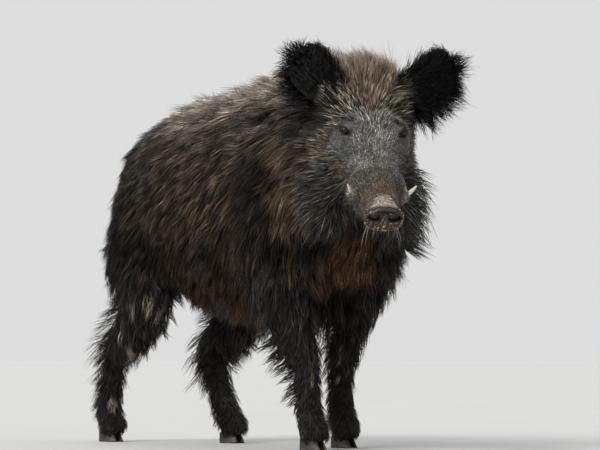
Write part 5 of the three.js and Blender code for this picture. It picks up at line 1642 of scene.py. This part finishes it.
_h = 1.15
_lo = np.array([-47.0, -16.0, -34.0])
_n = np.ceil((np.array([47.0, 14.0, 34.0]) - _lo) / _h).astype(int) + 1
_g = np.stack(np.meshgrid(*[_lo[i] + _h * np.arange(_n[i]) for i in range(3)], indexing="ij"), -1).reshape(-1, 3)
dv, dq = nets(disc_field(_g).reshape(_n), _lo, _h)
dt = np.concatenate([dq[:, [0, 1, 2]], dq[:, [0, 2, 3]]])
dv = settle(dv, disc_field, 2, 0.8)
x, y, z = dv.T
w = np.abs(x)
g = np.sqrt(((w - 22.0) / 12.4) ** 2 + ((z - 5.0 - 0.18 * (w - 21)) / 8.8) ** 2)
edge = 1 - np.exp(-((np.abs(x / 43) ** 2.4 + np.abs(z / 29) ** 2.4) ** (1 / 2.4) - 0.97) ** 2 / 0.006)
base = lin((30, 22, 18))
col = np.broadcast_to(base, dv.shape).copy()
rimtop = (1 - edge) * smooth(z, 2, 14) * smooth(y, 0, -6)
col = col * (1 - rimtop[:, None]) + lin((58, 48, 48)) * rimtop[:, None]
# the upper face just below the jutting rim is painted dark: painted shade under the rim
upper = smooth(z, 6, 14) * edge
col *= (1 - 0.62 * upper)[:, None]
gold = smooth(z, 4, -10) * (0.55 + 0.45 * wave(dv, 7, 31))
gold = np.clip(np.maximum(gold, np.exp(-(w / 5.5) ** 2) * smooth(z, 16, 4) * 0.9), 0, 1)
gold_part = 0.34 * gold * (0.4 + 0.6 * (wave(dv, 3.5, 77) > 0.1))
col = col * (1 - gold_part[:, None]) + lin((122, 98, 60)) * gold_part[:, None]
# the nostrils' inner walls are painted near black: painted shade deep in the nostrils
inside = (1 - smooth(g, 0.80, 1.10)) * smooth(y, -9.5, -7)
col *= (1 - 0.96 * inside)[:, None]
behind = smooth(y, 0.5, 4.0)
patch = smooth(z, 4, 14) * (1 - smooth(w + 2 * wave(dv, 9, 73), 19, 27))
col = col * (1 - behind[:, None]) + lin((46, 37, 33)) * behind[:, None]
behind = behind * patch
# the folds of the bare nose are painted darker in their grooves: painted shade, with a random mottle on top
fold_shade = 1 - 0.45 * (0.5 + 0.5 * np.cos(2 * np.pi * (y + 0.006 * x * x + 1.2 * np.sin(x / 6.0)) / 6.6)) * (0.6 + 0.4 * wave(dv, 9, 71))
col = col * (1 - behind[:, None]) + lin((124, 112, 105)) * (np.exp(0.30 * wave(dv, 5, 75)) * fold_shade * behind)[:, None]
o = mesh_object("disc_fine", metres(from_head(from_disc(dv))), dt, tint=col)
finish_piece(o, "disc", ["snout_disc"])

# damp grains that stick to the lower half of the disc
gv, gf, _ = ball(5, 3)
fn = unit(slope(dv, disc_field))
ok = np.flatnonzero((fn[:, 1] < -0.2) & (g > 1.32) & (z < 18))
wgt = (0.10 + smooth(z, 2, -12) + 1.6 * np.exp(-(w / 5.0) ** 2) * smooth(z, 20, 8) + 0.8 * np.exp(-((g - 1.3) / 0.3) ** 2))[ok] * np.clip(0.5 + 0.9 * wave(dv[ok], 11, 32), 0.04, 2)
pick = RNG.choice(ok, 360, replace=False, p=wgt / wgt.sum())
gs = RNG.uniform(0.4, 1.0, len(pick))
turn = unit(RNG.normal(size=(len(pick), 3)))
verts = dv[pick][:, None] + gv[None] * (gs[:, None] * RNG.uniform(0.7, 1.3, (len(pick), 3)))[:, None, :] + fn[pick][:, None] * (gs * 0.25)[:, None, None]
tone = lin((150, 124, 80)) * np.exp(RNG.normal(0, 0.5, len(pick)))[:, None]
tone = np.where(RNG.random(len(pick))[:, None] < 0.14, lin((216, 200, 160)), tone)
faces = (np.arange(len(pick))[:, None, None] * len(gv) + gf[None]).reshape(-1, 3)
o = mesh_object("disc_grains", metres(from_head(from_disc(verts.reshape(-1, 3)))), faces, tint=np.repeat(tone, len(gv), 0))
finish_piece(o, "grain")

# ------------------------------------------------------------------------------------------------ claws and dewclaws
CLAW_LEN, CLAW_WIDE, CLAW_FRONT, CLAW_HEEL, CLAW_WALL = 64, 27, 38, 23, 54


def claw():
    rings, steps = 14, 16
    v, lev = [], []
    for k in range(rings + 1):
        up = k / rings
        back = CLAW_FRONT * up / math.tan(math.radians(CLAW_WALL))
        long, wide = CLAW_LEN - back, CLAW_WIDE * (1 - 0.1 * up)
        ease = 1 - 0.035 * max(0, 1 - up * rings / 1.0) - 0.05 * max(0, (up - 0.9) / 0.1) ** 2
        groove = 1 - 0.012 * (0.5 + 0.5 * math.cos(up * 34))
        height = lambda s: (CLAW_FRONT + (CLAW_HEEL - CLAW_FRONT) * s) * up
        ring = []
        for j in range(steps + 1):
            s = j / steps
            rnd = math.sqrt(max(1 - ((s - 0.75) / 0.3) ** 2, 0)) if s > 0.75 else 1
            ring.append(((3 + (wide * ease * groove - 3) * (1 - (1 - s) ** 2) ** 0.8) * rnd, -long * ease * (1 - s), height(s)))
        for j in range(steps, -1, -1):
            s = j / steps
            ring.append((0.2 + 1.6 * (1 - s) ** 3, -long * ease * (1 - s), height(s)))
        v += ring
        lev += [up] * len(ring)
    m = 2 * (steps + 1)
    f = []
    for i in range(rings):
        for j in range(m):
            a, b = i * m + j, i * m + (j + 1) % m
            f += [(a, b, b + m), (a, b + m, a + m)]
    v, lev = np.array(v, float), np.array(lev)
    c0, c1 = v[:m].mean(0), v[-m:].mean(0)
    v = np.vstack([v, c0, c1])
    lev = np.append(lev, [0, 1])
    for j in range(m):
        f.append((len(v) - 2, (j + 1) % m, j))
        f.append((len(v) - 1, rings * m + j, rings * m + (j + 1) % m))
    return v, np.array(f)[:, ::-1], lev


def dewclaw():
    r, l, around = 10.5, 34, 20
    prof = np.array([[0.0, 0], [0.62 * r, -0.04 * l], [r, -0.25 * l], [0.9 * r, -0.5 * l], [0.62 * r, -0.8 * l], [0.25 * r, -l], [0, -l]])
    prof = catmull(prof, 4)
    prof[:, 0] = np.maximum(prof[:, 0], 0) * 0.985
    ang = np.arange(around) * 2 * np.pi / around
    v = np.stack([prof[:, 0][:, None] * np.cos(ang), prof[:, 0][:, None] * np.sin(ang) * 0.92, np.repeat(prof[:, 1][:, None], around, 1)], -1)
    v = v[1:-1].reshape(-1, 3)
    m = len(prof) - 2
    f = []
    for i in range(m - 1):
        for j in range(around):
            a, b = i * around + j, i * around + (j + 1) % around
            f += [(a, a + around, b + around), (a, b + around, b)]
    v = np.vstack([v, [0, 0, prof[0, 1]], [0, 0, prof[-1, 1]]])
    for j in range(around):
        f.append((len(v) - 2, j, (j + 1) % around))
        f.append((len(v) - 1, (m - 1) * around + (j + 1) % around, (m - 1) * around + j))
    return v, np.array(f), np.clip(-v[:, 2] / l, 0, 1)


def rot(axis, deg):
    return np.array(Matrix.Rotation(math.radians(deg), 3, axis))


def outward(v, f):
    """Turns the faces out if the solid's volume is negative."""
    a, b, c = v[f[:, 0]], v[f[:, 1]], v[f[:, 2]]
    return f if np.einsum("ij,ij->i", a, np.cross(b, c)).sum() > 0 else f[:, ::-1]


for name, (fx, heel, side) in FEET.items():
    for word, hand in (("outer", side), ("inner", -side)):
        v, f, lev = claw()
        v = v * np.array([hand, 1, 1])
        v = v @ rot("Z", 4 * hand).T + np.array([1.6 * hand + fx, -heel, 0])
        v[:, 2] = np.maximum(v[:, 2], 0.15)
        col = lin((36, 32, 29)) * (1 + 0.25 * np.sin(lev * 30))[:, None] * (1 - 0.25 * lev)[:, None]
        dirt = smooth(lev, 0.35, 0.0)[:, None] * (0.5 + 0.5 * wave(v, 14, 3))[:, None]
        col = col * (1 - 0.5 * dirt) + lin((104, 90, 72)) * 0.5 * dirt
        o = mesh_object(f"claw_{name}_{word}", metres(v), outward(v, f), tint=np.clip(col, 0, 1))
        finish_piece(o, "horn", [f"hoof_{name}_{word}"])
        v, f, lev = dewclaw()
        v = v @ rot("X", -34).T @ rot("Y", -14 * hand).T + np.array([fx + 15 * hand, -heel + 4, 62])
        col = lin((34, 30, 27)) * (1 + 0.2 * np.sin(lev * 26))[:, None] * np.ones((len(v), 3))
        o = mesh_object(f"spur_{name}_{word}", metres(v), outward(v, f), tint=np.clip(col, 0, 1))
        finish_piece(o, "horn", [f"dewclaw_{name}_{word}"])

# ---------------------------------------------------------------------------------------- lashes, whiskers and bristles
def loose(name, starts, ways, length, width, colour, droop, curl=0.0):
    """Free hairs in the head's frame, four segments each, gently drooping."""
    seg = 5
    n = len(starts)
    C = np.empty((n, seg + 1, 3))
    cur, way = np.array(starts, float), unit(np.array(ways, float))
    down = to_head(NOSE + np.array([0, 0, -1.0]))
    C[:, 0] = cur
    side = unit(np.cross(way, down))
    for i in range(1, seg + 1):
        way = unit(way + down * (droop / seg)[:, None] + side * (curl / seg))
        cur = cur + way * (length / seg)[:, None]
        C[:, i] = cur
    C = from_head(C)
    tang = unit(np.gradient(C, axis=1))
    sd = unit(np.cross(tang, np.array([0.3, 0.2, 1.0])))
    nr = np.cross(sd, tang)
    rings = []
    for i in range(seg):
        r = (width / 2 * (1 - 0.8 * (i / seg) ** 1.5))[:, None]
        for a in (90, 210, 330):
            th = math.radians(a)
            rings.append(C[:, i] + sd[:, i] * math.cos(th) * r + nr[:, i] * math.sin(th) * r)
    rings.append(C[:, seg])
    verts = np.stack(rings, 1)
    k = 3 * seg + 1
    tris = [(0, 2, 1)]
    for i in range(seg - 1):
        for a in range(3):
            b = (a + 1) % 3
            tris += [(3 * i + a, 3 * i + b, 3 * i + 3 + b), (3 * i + a, 3 * i + 3 + b, 3 * i + 3 + a)]
    for a in range(3):
        tris.append((3 * (seg - 1) + a, 3 * (seg - 1) + (a + 1) % 3, 3 * seg))
    faces = (np.arange(n)[:, None, None] * k + np.array(tris)[None]).reshape(-1, 3)
    root = C[:, 0]
    near = kdtree.KDTree(len(cent))
    for i, c in enumerate(cent):
        near.insert(c, i)
    near.balance()
    uvr = np.array([UV[near.find(r)[1]].mean(0) for r in root])
    t = np.append(np.repeat(np.arange(seg) / seg, 3), 1.0)
    a = np.append(np.tile([0.0, 0.5, 1.0], seg), 0.5)
    uv = uvr[:, None] + np.stack([(a - .5) * .003, (t - .5) * .003], 1)[None]
    return mesh_object(name, metres(verts.reshape(-1, 3)), faces, np.clip(uv.reshape(-1, 2), .0005, .9995), np.repeat(colour, k, 0))


st, wy, ln, wd, cl, dr = [], [], [], [], [], []
for side in (1, -1):
    c, along, over, out = EYES[side]
    for i in range(46):                                     # upper lashes
        a = RNG.uniform(-0.92, 0.92)
        h = LID_UP * (1 - abs(a) ** 2) ** 0.55
        p = c + along * a * LID_LONG + over * h
        p = c + unit(p - c + out * 11.5) * 15.2
        st.append(p)
        wy.append(out * 0.9 + over * 0.25 + along * (0.45 * a + RNG.normal(0, 0.1)) - np.array([0, 0, 0.25]))
        ln.append(RNG.uniform(6, 11)); wd.append(0.45); cl.append(lin((20, 17, 15)) * RNG.uniform(0.6, 2.5)); dr.append(0.35)
    for i in range(46):                                     # whiskers of the lip and jaw
        s0 = RNG.uniform(22, 150)
        u0 = RNG.uniform(-16, 8) if i % 2 else RNG.uniform(-50, -34)
        v0 = side * np.interp(s0, [20, 60, 120, 150], [36, 40, 50, 52]) * (1 if u0 > -34 else 0.86)
        st.append((v0, s0, u0))
        wy.append((side * RNG.uniform(.5, 1), RNG.uniform(.1, .9), RNG.uniform(-.5, .2)))
        ln.append(RNG.uniform(16, 36)); wd.append(0.5); cl.append(lin((70, 60, 50)) * RNG.uniform(0.3, 3.0)); dr.append(0.7)
for i in range(46):                                         # bristles under the chin
    s0, v0 = RNG.uniform(18, 90), RNG.uniform(-26, 26)
    u0 = -np.interp(s0, [8, 40, 85], [30, 40, 56]) * (1 - 0.25 * (v0 / 30) ** 2)
    st.append((v0, s0, u0 + 2))
    wy.append((v0 / 60 + RNG.normal(0, .15), RNG.uniform(-.5, .5), -1))
    ln.append(RNG.uniform(18, 42)); wd.append(0.6); cl.append(lin((120, 104, 86)) * RNG.uniform(0.2, 2.0)); dr.append(0.6)
for v0, dv_ in ((28, .75), (34, .95), (-38, -.40), (-30, -.15)):   # stout pale whiskers of the lower lip
    st.append((v0, 16, -26))
    wy.append((dv_, RNG.uniform(.1, .4), -1))
    ln.append(RNG.uniform(40, 58)); wd.append(1.35); cl.append(lin((182, 174, 160)) * RNG.uniform(0.7, 1.1)); dr.append(1.5)
P3 = np.array(st)
P3 = from_head(P3)
lash = np.zeros(len(P3), bool)
lash[:46] = True
lash[92:138] = True
P3[~lash] = settle(P3[~lash], skin, 3, 14)
o = loose("whiskers", to_head(P3), wy, np.array(ln), np.array(wd), np.array(cl), np.array(dr))
finish_piece(o, "whisker")
stamp("details")

# =====================================================================================================================
# Stage, light and camera
# =====================================================================================================================
LOOK = math.radians(33)
FWD, RIGHT = np.array([math.sin(LOOK), math.cos(LOOK), 0]), np.array([math.cos(LOOK), -math.sin(LOOK), 0])

bm_v, bm_f = [], []
for i in range(41):
    r = 0.0 if i == 0 else 0.4 * 1.14 ** i
    for j in range(64):
        bm_v.append((r * math.cos(j * math.pi / 32), r * math.sin(j * math.pi / 32), 0))
for i in range(40):
    for j in range(64):
        a, b = i * 64 + j, i * 64 + (j + 1) % 64
        bm_f.append((a, b, b + 64, a + 64) if False else (a, a + 64, b + 64, b))
floor = mesh_object("floor", np.array(bm_v), np.array(bm_f), even=False)
m, nt, b, node = material("floor")
g = ramp(nt, node, noise(nt, node, 2.0, 4).outputs["Fac"], [(0.3, (0.418, 0.415, 0.410)), (0.7, (0.434, 0.431, 0.426))])
nt.links.new(g.outputs["Color"], b.inputs["Base Color"])
b.inputs["Roughness"].default_value = 0.85
b.inputs["Specular IOR Level"].default_value = 0.2
floor.data.materials.append(m)


def sun(name, way, power, soft, colour=(1, 1, 1)):
    """A wide, soft light from far off; way points from the object to the light."""
    d = bpy.data.lights.new(name, "SUN")
    d.energy, d.angle, d.color = power, math.radians(soft), colour
    o = bpy.data.objects.new(name, d)
    o.rotation_mode = "QUATERNION"
    o.rotation_quaternion = (-Vector(way)).to_track_quat("-Z", "Y")
    bpy.context.scene.collection.objects.link(o)


UP = np.array([0, 0, 1.0])
sun("key", -FWD * 1.0 - RIGHT * 0.95 + UP * 1.15, 2.2, 24, (1.0, 0.985, 0.96))
sun("glint", -FWD * 0.55 - RIGHT * 0.75 + UP * 1.6, 0.45, 5, (1.0, 0.99, 0.97))
sun("sky", FWD * 0.25 - RIGHT * 0.15 + UP, 1.5, 100, (0.96, 0.98, 1.0))
sun("fill", -FWD * 1.0 + RIGHT * 0.9 + UP * 0.4, 0.6, 80, (1.0, 0.98, 0.96))
sun("rim", FWD * 1.0 - RIGHT * 0.5 + UP * 0.9, 0.9, 50, (0.98, 0.99, 1.0))
world = bpy.data.worlds.new("pale")
world.use_nodes = True
bg = next(n for n in world.node_tree.nodes if n.type == "BACKGROUND")
wt = world.node_tree
tc, sx = wt.nodes.new("ShaderNodeTexCoord"), wt.nodes.new("ShaderNodeSeparateXYZ")
wt.links.new(tc.outputs["Generated"], sx.inputs["Vector"])
wr = wt.nodes.new("ShaderNodeValToRGB")                # pale round the horizon, dimmer overhead where the soft lights are
wr.color_ramp.elements[0].position, wr.color_ramp.elements[0].color = 0.22, (0.80, 0.805, 0.80, 1)
wr.color_ramp.elements[1].position, wr.color_ramp.elements[1].color = 0.60, (0.34, 0.345, 0.35, 1)
wt.links.new(sx.outputs["Z"], wr.inputs["Fac"])
wt.links.new(wr.outputs["Color"], bg.inputs["Color"])
bg.inputs["Strength"].default_value = 0.9
bpy.context.scene.world = world
bpy.context.scene.view_settings.view_transform = "Standard"

cam = bpy.data.cameras.new("camera")
cam.sensor_width, cam.lens = 36.0, 3400 * 36 / 600
cam.clip_start, cam.clip_end = 0.1, 400
camera = bpy.data.objects.new("camera", cam)
bpy.context.scene.collection.objects.link(camera)
bpy.context.scene.camera = camera
camera.location = -FWD * 8.0 + RIGHT * 0.113 + np.array([0, 0, 0.22]) + SHIFT
tilt = math.atan2(127, 3400)
camera.rotation_mode = "QUATERNION"
camera.rotation_quaternion = Vector(FWD * math.cos(tilt) + np.array([0, 0, math.sin(tilt)])).to_track_quat("-Z", "Y")

bpy.context.view_layer.update()
stamp("finish")
